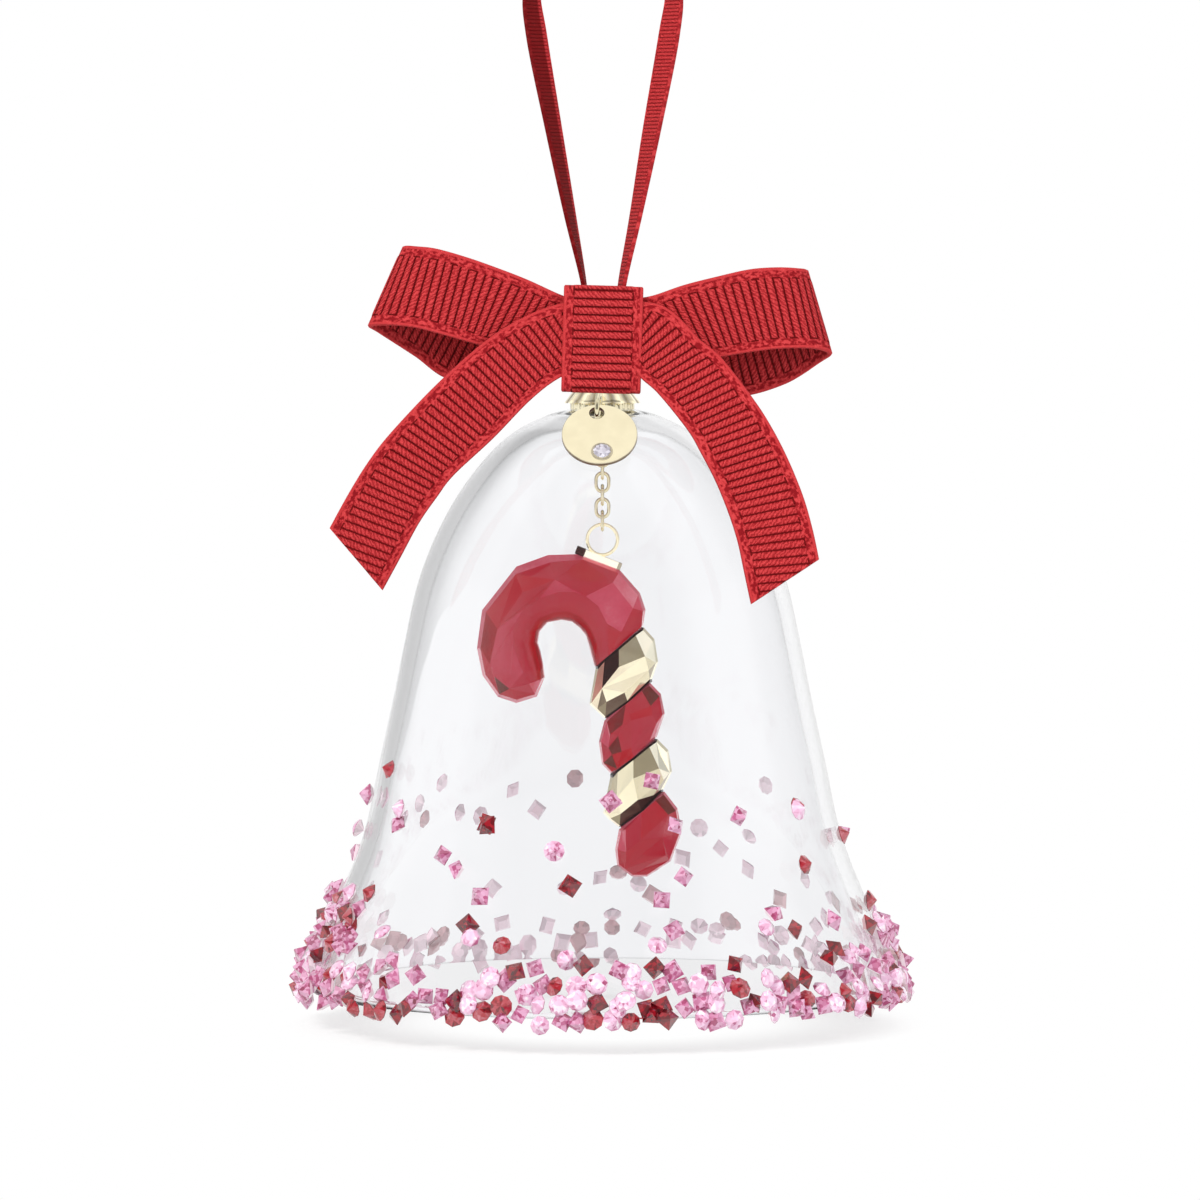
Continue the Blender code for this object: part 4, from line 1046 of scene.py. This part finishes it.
def makeTag(finish, toned):
    matrix = Matrix.Translation(middleOf("tag_disc")) @ tilted(-tag["tilt"], "X")
    matrix = matrix @ tilted(tag["turn"], "Y")
    holeAt = tag["radius"] - tag["holeFromEdge"]
    disc, tone = newFaceted()
    plate(disc, tone, matrix, (0, 0), tag["radius"], (0, holeAt), tag["holeRadius"],
          tag["thickness"], tag["bevel"])
    flatFaces = set(disc.faces)
    seat = matrix @ Vector((0, -tag["thickness"] / 2, tag["radius"] - tag["stoneFromEdge"]))
    facing = (matrix.to_3x3() @ Vector((0, -1, 0))).normalized()
    side = (matrix.to_3x3() @ axisX).normalized()
    up = (matrix.to_3x3() @ axisZ).normalized()
    clasp = roundPath(seat, side, up, tag["stoneRadius"] + tag["claspGap"], 40)
    wire(disc, clasp, facing, tag["claspWire"])
    for grain in roundPath(seat, side, up, tag["stoneRadius"] * tag["grainReach"], tag["grains"]):
        place = Matrix.Translation((grain + facing * tag["claspGap"]) * mm)
        bmesh.ops.create_icosphere(disc, subdivisions=1, radius=tag["grainRadius"] * mm,
                                   matrix=place)
    toneFaces(set(disc.faces) - flatFaces, tone, tag["claspTone"], True)
    addGold("tagDisc", disc, toned, "tag", "tag_disc", smooth=False)
    stone, layer = newFaceted()
    outward = Matrix((side, up, facing)).transposed().to_4x4()
    place = Matrix.Translation(seat - facing * tag["stoneSink"]) @ outward
    gem(stone, layer, place, "front", tag["stoneSides"], tag["stoneRadius"], tag["stoneHeight"],
        random.Random(4))
    addPiece("tagStone", meshOf("tagStone", stone), [stoneFinish("clear")], "tag",
             ["tag_stone"], smooth=False)

    lug = Vector(cap["lug"])
    hole = matrix @ Vector((0, 0, holeAt))
    longWay = (lug - hole).normalized()
    shortWay = longWay.cross(axisX).normalized()
    normal = longWay.cross(shortWay).normalized()
    path = ovalPath((lug + hole) / 2, longWay, shortWay, (lug - hole).length / 2,
                    tag["ringHalfWidth"], 16)
    ring = wire(bmesh.new(), path, normal, tag["ringWire"], 14)
    addGold("tagRing", ring, finish, "tag_link", "tag_ring")
    print("cap, chain, bail and tag made")


stones = {
    "seed": 11,
    "sectors": 12,
    # rows up the rim: height, pitch and how many of its places are filled
    "rows": ((0.1, 2.1, 0.96), (1.9, 2.1, 0.95), (3.6, 2.2, 0.78), (5.4, 2.5, 0.14),
             (7.4, 2.6, 0.07)),
    "rearShare": 0.6,          # fewer of them are filled round the back
    # thicker clusters: middle and half width in degrees from the front, top, share filled
    "clusters": ((-78, 22, 12.5, 0.7), (80, 20, 9.5, 0.62), (-6, 5, 9.5, 0.5), (9, 7, 9.5, 0.42),
                 (52, 9, 8.0, 0.4), (-24, 5, 7.5, 0.4)),
    "clusterPitch": 2.1,
    "jitter": 0.5,
    "tilt": 24,
    "roundRadius": (1.15, 1.4),
    "squareHalf": (0.9, 1.1),
    "heights": {"back": 1.55, "front": 1.3, "square": 1.7},
    "sides": (8, 9, 10),       # of a round stone
    # rings of corners from a stone's base out: rise share, radius share, half-step turn
    "cuts": {
        "back": ((0.0, 0.5, 0), (0.3, 1.0, 1), (0.36, 1.0, 1), (0.68, 0.5, 0), (1.0, 0.0, 0)),
        "front": ((0.0, 0.12, 0), (0.6, 1.0, 1), (0.66, 1.0, 1), (0.88, 0.78, 0),
                  (1.0, 0.5, 1)),
        "square": ((0.0, 0.62, 0), (0.28, 1.0, 0), (0.34, 1.0, 0), (1.0, 0.05, 0)),
    },
    "frontShare": 0.55,        # of the round pink stones, set with their front outwards
    "lift": 0.12,
    "redShare": 0.27,
    "squareShare": 0.58,
    # facet tones from dark to light: the stone's colour in the middle, with painted shade at the
    # dark end and painted highlight near white
    "pink": ((0.0, (0.22, 0.01, 0.045)), (0.13, (0.50, 0.10, 0.24)), (0.28, (0.72, 0.34, 0.52)),
             (0.5, (0.87, 0.52, 0.72)), (0.72, (0.92, 0.65, 0.83)), (0.86, (0.97, 0.86, 0.93)),
             (1.0, (1.0, 0.98, 0.99))),
    "red": ((0.0, (0.055, 0.001, 0.003)), (0.2, (0.17, 0.002, 0.008)),
            (0.42, (0.38, 0.004, 0.015)), (0.62, (0.45, 0.045, 0.065)),
            (0.85, (0.47, 0.10, 0.13)), (1.0, (0.60, 0.20, 0.24))),
    "clear": ((0.0, (0.14, 0.12, 0.14)), (0.4, (0.36, 0.34, 0.40)), (0.85, (0.78, 0.76, 0.84))),
    # the facets that face the glass are what shows through it: pale colours that glow, painted
    # light in place of the lamplight the glass keeps from them
    "pinkBack": (0.80, 0.64, 0.70),
    "redBack": (0.52, 0.32, 0.34),
    "clearBack": (0.6, 0.6, 0.6),
    "through": 0.58,           # painted light: how strongly those facets glow, for the light that comes through them
    "dull": 0.6,               # how bright the dullest of them is
}

# Loose stones in front, by where they show in the picture: across, down, colour and cut.
scattered = {
    "front": (
        (395, 828, "pink square"), (356, 831, "pink round"), (486, 826, "red square"),
        (441, 857, "pink square"), (457, 873, "pink square"), (337, 890, "pink square"),
        (358, 912, "pink square"), (350, 927, "red round"), (381, 939, "pink round"),
        (465, 928, "red square"), (468, 942, "pink round"), (799, 810, "red round"),
        (739, 816, "pink square"), (844, 836, "pink square"), (806, 867, "red round"),
        (871, 902, "red round"), (775, 918, "pink square"), (768, 931, "pink round"),
        (796, 933, "red square"), (835, 923, "pink square"), (676, 934, "pink square"),
        (736, 967, "red square"), (611, 803, "red square"), (663, 903, "pink square"),
    ),
    "behind": 26,
    "behindHeights": (9.0, 27.0),
    "behindAngles": (100, 160),    # where they start, round from the front, and how far on
    "framedSink": 1.2,
    "framedSet": (0.3, 8),         # the framed ones' lift and tilt
    # colour and cut of the sixteen loose stones whose places the frame gives
    "framed": ("red round", "pink square", "pink round", "red square", "pink round", "red square",
               "pink square", "pink square", "pink square", "pink square", "pink round",
               "red round", "red round", "pink square", "pink square", "red round"),
}


def stoneFinish(kind):
    stops, back = stones[kind], stones[kind + "Back"]
    finish = Finish(kind + "Stone", roughness=0.06, coat=1.0, coatRoughness=0.02, ior=1.55)
    facet = finish.attribute("facet", "Fac")
    cells = finish.node("ShaderNodeTexVoronoi", {"feature": "F1"},
                        {"Vector": finish.place(), "Scale": 2100.0}, "Color")
    # painted glints: small cells of random brightness on each facet
    spark = finish.parts(cells)[0]
    tone = facet * 0.62 + spark * 0.38
    behind = facet.maths("LESS_THAN", -0.5)
    dull = finish.blend(facet + 2.0, tuple(c * stones["dull"] for c in back), back)
    finish.feed("colour", finish.blend(behind, finish.ramp(tone, *stops), dull))
    # painted light: the facets towards the glass glow
    finish.feed("glow", finish.blend(behind * stones["through"], (0, 0, 0), dull))
    finish.feed("glowStrength", 1.0)
    return finish


def gem(bm, layer, matrix, cut, sides, radius, height, draw, index=0):
    levels = stones["cuts"][cut]
    # painted light: each facet gets a brightness on its stone's ramp of painted shade and
    # highlight
    tones = [draw.betavariate(1.9, 1.35) for _ in range(sides)]
    rows = []
    for rise, share, turn in levels:
        count = 1 if share == 0 else sides
        rows.append([bm.verts.new(matrix @ Vector((
            radius * share * math.cos(math.tau * (k + turn / 2) / sides),
            radius * share * math.sin(math.tau * (k + turn / 2) / sides), rise * height)) * mm)
            for k in range(count)])

    def facet(verts, tone):
        face = bm.faces.new(verts)
        face[layer] = tone
        face.material_index = index

    for row in range(len(rows) - 1):
        (lower, upper), (low, high) = rows[row:row + 2], levels[row:row + 2]
        for k in range(sides):
            n = (k + 1) % sides
            tone = min(1.0, max(0.0, tones[k] + draw.gauss(0, 0.12)))
            if row == 0:
                tone = -1.0 - draw.random()     # the facets towards the glass
            if len(upper) == 1:
                facet((lower[k], lower[n], upper[0]), tone)
            elif low[2] == high[2]:
                facet((lower[k], lower[n], upper[n], upper[k]), tone if row == 0 else 0.12 * tone)
            else:                               # a star of triangles between turned rings
                first, second = (lower, upper) if low[2] < high[2] else (upper, lower)
                facet((first[k], first[n], second[k]), tone)
                facet((second[k], second[n], first[n]), tone if row == 0 else draw.random())
    facet(list(reversed(rows[0])), -1.0 - draw.random() * 0.5)
    if len(rows[-1]) > 1:
        facet(rows[-1], draw.uniform(0.55, 1.0))


def onGlass(angle, height, lift):
    # a place off the outer wall: angle round from the front, height and lift in mm
    radius, normal = glassAt(height)
    outward = Vector((normal[0] * math.sin(angle), -normal[0] * math.cos(angle), normal[1]))
    wall = Vector((radius * math.sin(angle), -radius * math.cos(angle), height))
    return wall + outward * lift, outward


def setStone(bm, layer, angle, height, colour, cut, draw, lift=stones["lift"],
             tilt=stones["tilt"]):
    place, outward = onGlass(angle, height, lift)
    lean = math.radians(tilt)
    turn = outward.to_track_quat("Z", "Y").to_matrix().to_4x4()
    nod = Matrix.Rotation(draw.gauss(0, lean * 0.6), 4, "X") @ Matrix.Rotation(
        draw.gauss(0, lean * 0.6), 4, "Y") @ Matrix.Rotation(draw.uniform(0, math.tau), 4, "Z")
    matrix = Matrix.Translation(place) @ turn @ nod
    index = 1 if colour == "red" else 0
    if cut == "square":
        radius = draw.uniform(*stones["squareHalf"]) * math.sqrt(2)
        sides = 4
    else:
        backwards = colour == "red" or draw.random() < 1 - stones["frontShare"]
        cut = "back" if backwards else "front"
        radius = draw.uniform(*stones["roundRadius"])
        sides = draw.choice(stones["sides"])
    gem(bm, layer, matrix, cut, sides, radius, stones["heights"][cut], draw, index)


def addStones(name, bm, finishes, replaced=()):
    addPiece(name, meshOf(name, bm), finishes, "bell", replaced, smooth=False)


def drawKind(draw):
    colour = "red" if draw.random() < stones["redShare"] else "pink"
    cut = "square" if draw.random() < stones["squareShare"] else "round"
    return colour, cut


def makeRimStones(finishes):
    draw = random.Random(stones["seed"])
    span = math.tau / stones["sectors"]
    total = 0
    for sector in range(stones["sectors"]):
        bm, layer = newFaceted()
        spots = []
        for height, pitch, share in stones["rows"]:
            count = max(1, round(span * (glassAt(height)[0] + 1) / pitch))
            for place in range(count):
                spots.append((span * (sector + (place + draw.random() * 0.5 + 0.25) / count),
                              height, share))
        for middle, halfWidth, top, share in stones["clusters"]:
            for height in np.arange(6.0, top, stones["clusterPitch"]):
                step = math.degrees(stones["clusterPitch"] / glassAt(height)[0])
                reach = halfWidth * (1.15 - 0.5 * height / top)
                for angle in np.arange(middle - reach, middle + reach, step):
                    if int(angle % 360 // 30) == sector:
                        spots.append((math.radians(angle % 360), height, share))
        for angle, height, share in spots:
            high = height + draw.gauss(0, stones["jitter"])
            fewer = stones["rearShare"] if math.cos(angle) < -0.2 else 1.0
            if draw.random() > share * fewer:
                continue
            colour, cut = drawKind(draw)
            setStone(bm, layer, angle, high, colour, cut, draw, 0.1 + draw.random() ** 2 * 1.1)
            total += 1
        number = sector + 1
        addStones(f"rimStones{number:02d}", bm, finishes,
                  [f"rim_stones_{number:02d}"])
    print("rim stones:", total)


def fromPicture(across, down):
    # where a picture point lies on the front of the glass: angle and height
    aim = Vector(camera["aim"])
    focal = camera["lens"] / camera["sensor"] * camera["picture"]
    middle = camera["picture"] / 2
    slope = math.tan(math.radians(camera["lookingDown"]))
    forward = 30.0
    for _ in range(20):
        room = camera["distance"] - forward
        height = aim.z + slope * forward + (middle - down) * room / focal
        side = aim.x + (across - middle) * room / focal
        radius = glassAt(height)[0] + 0.8
        forward = math.sqrt(max(radius ** 2 - side ** 2, 0.0))
    return math.atan2(side, forward), height


def makeLooseStones(finishes):
    draw = random.Random(stones["seed"] + 1)
    for number, kind in enumerate(scattered["framed"], 1):
        bm, layer = newFaceted()
        middle = middleOf(f"loose_stone_{number:02d}")
        angle = math.atan2(middle.x, -middle.y)
        outward = glassAt(middle.z)[1]
        height = middle.z - outward[1] * scattered["framedSink"]
        setStone(bm, layer, angle, height, *kind.split(), draw, *scattered["framedSet"])
        addStones(f"looseStone{number:02d}", bm, finishes,
                  [f"loose_stone_{number:02d}"])
    bm, layer = newFaceted()
    for across, down, kind in scattered["front"]:
        setStone(bm, layer, *fromPicture(across, down), *kind.split(), draw)
    addStones("looseStonesFront", bm, finishes)
    bm, layer = newFaceted()
    first, span = scattered["behindAngles"]
    low, high = scattered["behindHeights"]
    for number in range(scattered["behind"]):
        angle = math.radians(first + span * (number + draw.random()) / scattered["behind"])
        height = low + (high - low) * draw.random() ** 1.6
        setStone(bm, layer, angle, height, *drawKind(draw), draw)
    addStones("looseStonesBehind", bm, finishes)
    total = len(scattered["framed"]) + len(scattered["front"]) + scattered["behind"]
    print("loose stones:", total)


# Points in mm across and above the bail ring's middle, each with its depth in front of
# the middle plane. "outline" goes round the piece, "corners" are the front's own, and
# each facet lists its points (outline first, then corners) and its tone, dark to light,
# which paints its light, shade and reflection.
cane = {
    "inset": 0.3,              # how far the front's rim lies inside the outline
    "gapShade": 0.27,             # painted shade: a dark filler in the gap at a gold piece's cut, where its shadow falls
    "gapShadeShare": 0.95,
    "rimDepth": 1.3,           # of an outline's point, where it has none of its own
    "hook": {
        "outline": (
            (2.2, -3.8), (-3.2, -1.8), (-6.8, -1.9), (-10.75, -3.3), (-15.05, -8.7),
            (-15.7, -13.5), (-15.0, -16.9), (-13.1, -19.6), (-10.75, -20.4), (-8.2, -19.6),
            (-7.2, -17.1), (-7.4, -15.4), (-7.75, -13.9), (-8.05, -12.8), (-7.8, -11.4),
            (-6.8, -10.3), (-5.05, -10.0), (-3.8, -10.25), (-2.8, -11.05), (-2.05, -12.0),
            (-1.7, -13.2), (-1.4, -14.4), (-1.0, -15.8), (5.1, -10.6), (5.4, -8.7), (4.7, -6.6),
        ),
        "front": (
            (2.0, -4.1, 1.4), (-2.45, -2.4, 1.4), (-6.5, -2.75, 1.4), (-10.8, -4.2, 1.5),
            (-14.5, -8.9, 1.5), (-15.2, -13.5, 1.4), (-14.6, -16.7, 1.3), (-12.85, -19.2, 1.3),
            (-10.7, -19.9, 1.3), (-8.4, -19.2, 1.4), (-9.1, -17.8, 3.0), (-9.8, -16.4, 3.15),
            (-10.4, -14.9, 3.2), (-11.0, -13.1, 3.2), (-11.1, -11.1, 3.2), (-9.9, -8.6, 3.2),
            (-7.8, -7.1, 3.2), (-5.4, -6.3, 3.2), (-3.4, -6.35, 3.2), (-2.05, -6.85, 3.2),
            (-0.5, -8.1, 3.2), (0.6, -10.3, 3.2), (0.75, -14.3, 3.1), (4.9, -10.75, 1.4),
            (5.05, -8.8, 1.4), (4.45, -6.8, 1.4),
        ),
        "corners": (
            (-5.9, -4.85, 2.75), (1.3, -5.2, 2.55), (3.8, -8.4, 2.3), (2.35, -11.35, 2.85),
            (-13.05, -10.95, 2.45), (-14.0, -15.4, 2.1), (-11.55, -18.45, 2.5),
            (-13.45, -16.95, 1.9), (-9.9, -6.4, 2.65),
        ),
        "facets": (
            ((3, 26, 19, 27, 0, 1, 2), 0.56), ((26, 19, 18, 17, 16), 0.78), ((3, 34, 26), 0.36),
            ((34, 26, 16, 15, 30), 0.52), ((3, 34, 30, 4), 0.40), ((4, 30, 31, 5), 0.2),
            ((30, 15, 14, 13, 12, 11, 32, 33, 31), 0.74), ((33, 32, 7), 0.06),
            ((31, 33, 7, 6), 0.55), ((5, 31, 6), 0.5), ((32, 11, 10, 9), 0.66),
            ((32, 9, 8, 7), 0.46), ((19, 27, 28, 29, 21, 20), 0.86), ((27, 0, 25, 28), 0.95),
            ((28, 25, 24), 0.8), ((28, 24, 23, 29), 0.5), ((29, 23, 22, 21), 0.44),
        ),
        "arc": (10, 22),
    },
    "goldUpper": {
        "outline": (
            (5.2, -10.95), (6.5, -12.4), (6.95, -15.2), (6.2, -17.4), (3.1, -19.93, 2.9),
            (0.25, -22.3), (-0.8, -21.3), (-1.6, -20.55), (-0.85, -16.05), (0.25, -15.12, 2.3),
            (2.05, -13.6, 3.0), (4.15, -11.84, 2.4),
        ),
        "corners": (
            (5.3, -14.4, 2.7), (2.05, -15.7, 3.1), (5.75, -16.15, 2.5), (2.75, -18.9, 3.1),
            (0.5, -20.1, 2.6), (-0.05, -18.4, 2.6),
        ),
        "facets": (
            ((10, 11, 12, 13), 0.42), ((11, 0, 1, 2, 12), 1.0), ((13, 12, 2, 14, 15, 16, 17), 0.9),
            ((14, 2, 3), 0.5), ((14, 3, 4, 15), 0.78), ((16, 15, 4, 5), 0.2), ((17, 16, 6), 0.26),
            ((17, 6, 7), 0.88), ((16, 5, 6), 0.36), ((8, 9, 17, 7), 0.66), ((9, 10, 13, 17), 0.05),
        ),
        "cuts": ((3, 5), (8, 12)),
    },
    "crystalMiddle": {
        "outline": (
            (5.95, -17.85), (7.3, -19.25), (7.8, -21.7), (6.8, -24.65), (3.85, -26.98, 2.9),
            (1.05, -29.2), (-0.05, -28.05), (-0.45, -25.3), (0.25, -22.6), (2.9, -20.4, 2.9),
            (4.9, -18.73, 2.6),
        ),
        "corners": (
            (6.0, -20.6, 2.85), (3.3, -21.6, 3.1), (6.2, -21.7, 2.85), (3.6, -22.4, 3.2),
            (6.75, -22.8, 2.3), (5.9, -24.9, 2.4), (3.6, -25.8, 3.1), (2.5, -22.9, 3.1),
            (0.95, -24.2, 2.3), (1.95, -24.3, 2.9), (2.4, -26.3, 2.9), (1.2, -26.7, 2.3),
            (0.75, -25.9, 2.0), (1.85, -28.5, 2.2),
        ),
        "facets": (
            ((8, 9, 18, 19), 0.14), ((9, 10, 11, 12), 0.5), ((9, 12, 14, 18), 0.46),
            ((12, 11, 13, 14), 0.38), ((10, 0, 1, 11), 0.07), ((11, 1, 2, 15, 13), 0.58),
            ((15, 2, 3, 16), 0.93), ((14, 13, 15, 16, 17), 0.64), ((17, 16, 3, 4), 0.6),
            ((18, 14, 17, 21, 20), 0.53), ((8, 19, 23, 7), 0.88), ((7, 23, 22, 6), 0.66),
            ((20, 21, 22, 23), 0.1), ((19, 18, 20), 0.5), ((19, 20, 23), 0.6),
            ((22, 21, 17, 4, 24), 0.3), ((6, 22, 24), 0.06), ((6, 24, 5), 0.26),
            ((24, 4, 5), 0.34),
        ),
    },
    "goldLower": {
        "outline": (
            (6.9, -24.95), (8.25, -26.3), (8.7, -28.95), (7.6, -31.2), (4.85, -33.55, 2.9),
            (2.05, -35.95), (0.85, -35.0), (0.1, -34.2), (0.5, -32.1), (1.0, -29.62),
            (1.9, -28.91, 2.3), (3.85, -27.36, 2.9), (5.85, -25.78, 2.5),
        ),
        "corners": (
            (7.05, -28.4, 2.7), (3.85, -29.6, 3.1), (7.65, -29.85, 2.2), (6.4, -31.7, 2.6),
            (4.4, -32.3, 3.1), (2.25, -34.1, 2.6), (1.75, -32.1, 2.5),
        ),
        "facets": (
            ((11, 12, 13, 14), 0.4), ((12, 0, 1, 2, 15, 13), 1.0), ((14, 13, 15, 16, 17), 0.74),
            ((15, 2, 3, 16), 0.54), ((16, 3, 4, 17), 0.05), ((10, 11, 14, 17, 18, 19), 0.88),
            ((9, 10, 19, 8), 0.7), ((8, 19, 18, 6, 7), 0.85), ((18, 17, 4, 5), 0.13),
            ((18, 5, 6), 0.38),
        ),
        "cuts": ((3, 5), (9, 13)),
    },
    "crystalTip": {
        "outline": (
            (7.75, -31.45), (9.4, -33.6), (9.95, -36.6), (8.55, -40.4, 1.2), (5.6, -42.3, 0.9),
            (3.7, -42.3, 0.9), (1.85, -40.9, 1.2), (1.6, -38.9), (2.05, -36.3), (4.9, -33.87, 2.9),
            (6.6, -32.43, 2.5),
        ),
        "corners": (
            (8.2, -34.2, 2.5), (4.75, -37.4, 3.15), (2.95, -39.0, 2.6), (2.9, -36.1, 2.3),
            (7.45, -37.1, 3.0), (7.9, -39.4, 2.6), (2.8, -41.2, 1.9),
        ),
        "facets": (
            ((14, 9, 12, 13), 0.64), ((8, 14, 13, 7), 0.88), ((8, 9, 14), 0.7),
            ((9, 10, 11, 12), 0.42), ((10, 0, 1, 11), 0.07), ((12, 11, 1, 2, 15), 0.58),
            ((13, 12, 15, 16, 17), 0.48), ((15, 2, 3, 16), 0.64), ((17, 16, 3, 4, 5), 0.54),
            ((7, 13, 17, 6), 0.5), ((6, 17, 5), 0.95),
        ),
    },
    # the painted tone of the sides
    "sideTone": 0.9,
    # the hollow bevel round the inner arc: rise, reach and painted tone of light and shade from
    # its edge outwards
    "bevel": ((0.34, 0.05, 0.8), (0.6, 0.17, 0.19), (0.8, 0.38, 0.25), (0.94, 0.66, 0.5),
              (1.0, 1.0, 0.6)),
}

crystal = {
    # the crystal's red, with painted shade at the dark end and painted highlight at the pale end
    "tones": (
        (0.0, (0.10, 0.045, 0.03)), (0.12, (0.16, 0.001, 0.002)), (0.3, (0.46, 0.001, 0.010)),
        (0.5, (0.42, 0.006, 0.022)), (0.7, (0.44, 0.010, 0.034)), (0.88, (0.58, 0.07, 0.12)),
        (1.0, (0.68, 0.24, 0.29)),
    ),
    "through": 0.2,            # how much of it is see-through
    "gloss": 0.15,
    "coat": 0.45,
    "coatFrom": (0.25, 0.5),   # dark facets mirror nothing
    "glow": 0.43,              # painted light: a glow that stands for the light that comes through it
}


def crystalFinish():
    # red lead crystal: light goes through it, each facet is painted with a tone of light and shade
    # of its own, and it glows with that colour as painted light
    finish = Finish("redCrystal", roughness=0.0, transmission=crystal["through"], ior=1.56,
                    specular=crystal["gloss"], coatRoughness=0.02)
    facet = finish.attribute("facet", "Fac")
    cloud = finish.noise(finish.place(), 260.0)
    grain = finish.noise(finish.place(), 2400.0)
    tone = facet + (cloud - 0.5) * 0.20 + (grain - 0.5) * 0.07
    colour = finish.ramp(tone, *crystal["tones"])
    finish.feed("colour", colour)
    finish.feed("coat", finish.step(facet, *crystal["coatFrom"]) * crystal["coat"])
    finish.feed("glow", colour)
    finish.feed("glowStrength", crystal["glow"])
    return finish


def facetedPiece(shape):
    # the outline lies in the middle plane, the facets before it, and the back mirrors them
    origin = bailCentre()
    bm, tone = newFaceted()
    outline = shape["outline"]
    count = len(outline)
    heart = sum((Vector(p[:2]) for p in outline), Vector((0, 0))) / count
    cuts = shape.get("cuts", ())
    cutPoints = {k % count for first, last in cuts for k in range(first + 1, last)}

    def inward(k):
        x, z, depth = (*outline[k], cane["rimDepth"])[:3]
        if depth > cane["rimDepth"] or k in cutPoints:
            return x, z, depth
        place = Vector((x, z))
        place += (heart - place).normalized() * cane["inset"]
        return place.x, place.y, depth

    front = shape.get("front") or tuple(inward(k) for k in range(count))
    first, last = shape.get("arc", (0, -1))

    def put(x, z, depth):
        return bm.verts.new((origin + Vector((x, -depth, z))) * mm)

    def add(verts, shade, soft=False):
        face = bm.faces.new(verts)
        face[tone] = shade
        face.smooth = soft
        return face

    middle = [put(p[0], p[1], 0) for p in outline]
    cutFaces = {cut: [] for cut in cuts}
    for side in (1, -1):
        level = [put(x, z, depth * side) for x, z, depth in (*front, *shape["corners"])]
        for points, shade in shape["facets"]:
            add([level[k] for k in points], shade)
        columns = []
        for k in range(count):
            column = [middle[k]]
            if first <= k <= last:             # round the inner arc the bevel is hollow
                start, end = middle[k].co, level[k].co
                for rise, reach, _ in cane["bevel"][:-1]:
                    column.append(bm.verts.new((start.x + (end.x - start.x) * reach,
                                                start.y + (end.y - start.y) * rise,
                                                start.z + (end.z - start.z) * reach)))
            columns.append([*column, level[k]])
        for k in range(count):
            n = (k + 1) % count
            if first <= k < last:
                for j, (rise, reach, shade) in enumerate(cane["bevel"]):
                    add((columns[k][j], columns[n][j], columns[n][j + 1], columns[k][j + 1]),
                        shade, True)
                continue
            face = add([*columns[k], *reversed(columns[n])], cane["sideTone"])
            for cut in cuts:
                if cut[0] <= k < cut[1]:
                    cutFaces[cut].append(face)
    bmesh.ops.recalc_face_normals(bm, faces=bm.faces)
    for faces in cutFaces.values():
        away = sum((face.normal for face in faces), Vector()).normalized()
        grown = bmesh.ops.extrude_face_region(bm, geom=faces)["geom"]
        verts = [item for item in grown if isinstance(item, bmesh.types.BMVert)]
        bmesh.ops.delete(bm, geom=faces, context="FACES_ONLY")
        centre = sum((v.co for v in verts), Vector()) / len(verts)
        for v in verts:
            v.co = centre + (v.co - centre) * cane["gapShadeShare"] + away * cane["gapShade"] * mm
        # painted shade: the filler takes the darkest tone
        for face in {f for v in verts for f in v.link_faces}:
            face[tone] = 0.0
    return bm


def makeCane(goldCut, red):
    pieces = {
        "hook": ("cane_hook_crystal", red, "red_crystal"),
        "goldUpper": ("cane_gold_upper", goldCut, "gold"),
        "crystalMiddle": ("cane_crystal_middle", red, "red_crystal"),
        "goldLower": ("cane_gold_lower", goldCut, "gold"),
        "crystalTip": ("cane_crystal_tip", red, "red_crystal"),
    }
    for name, (node, finish, slotName) in pieces.items():
        pieceName = "cane" + name[0].upper() + name[1:]
        mesh = meshOf(pieceName, facetedPiece(cane[name]))
        addPiece(pieceName, mesh, [finish], "cane", [node], smooth=False)
    print("cane:", len(pieces), "pieces")


def main():
    makeCamera()
    makeHangingRibbon()
    makeStudio()
    makeLamps()
    makeFloor()
    print("camera, studio, lamps and floor made")
    makeBow()
    makeBell()
    plain, toned = goldFinish(), tonedGoldFinish()
    makeCap(plain, toned)
    makeChain(plain)
    makeBail(toned)
    makeTag(plain, toned)
    stoneFinishes = [stoneFinish("pink"), stoneFinish("red")]
    makeRimStones(stoneFinishes)
    makeLooseStones(stoneFinishes)
    makeCane(toned, crystalFinish())


main()
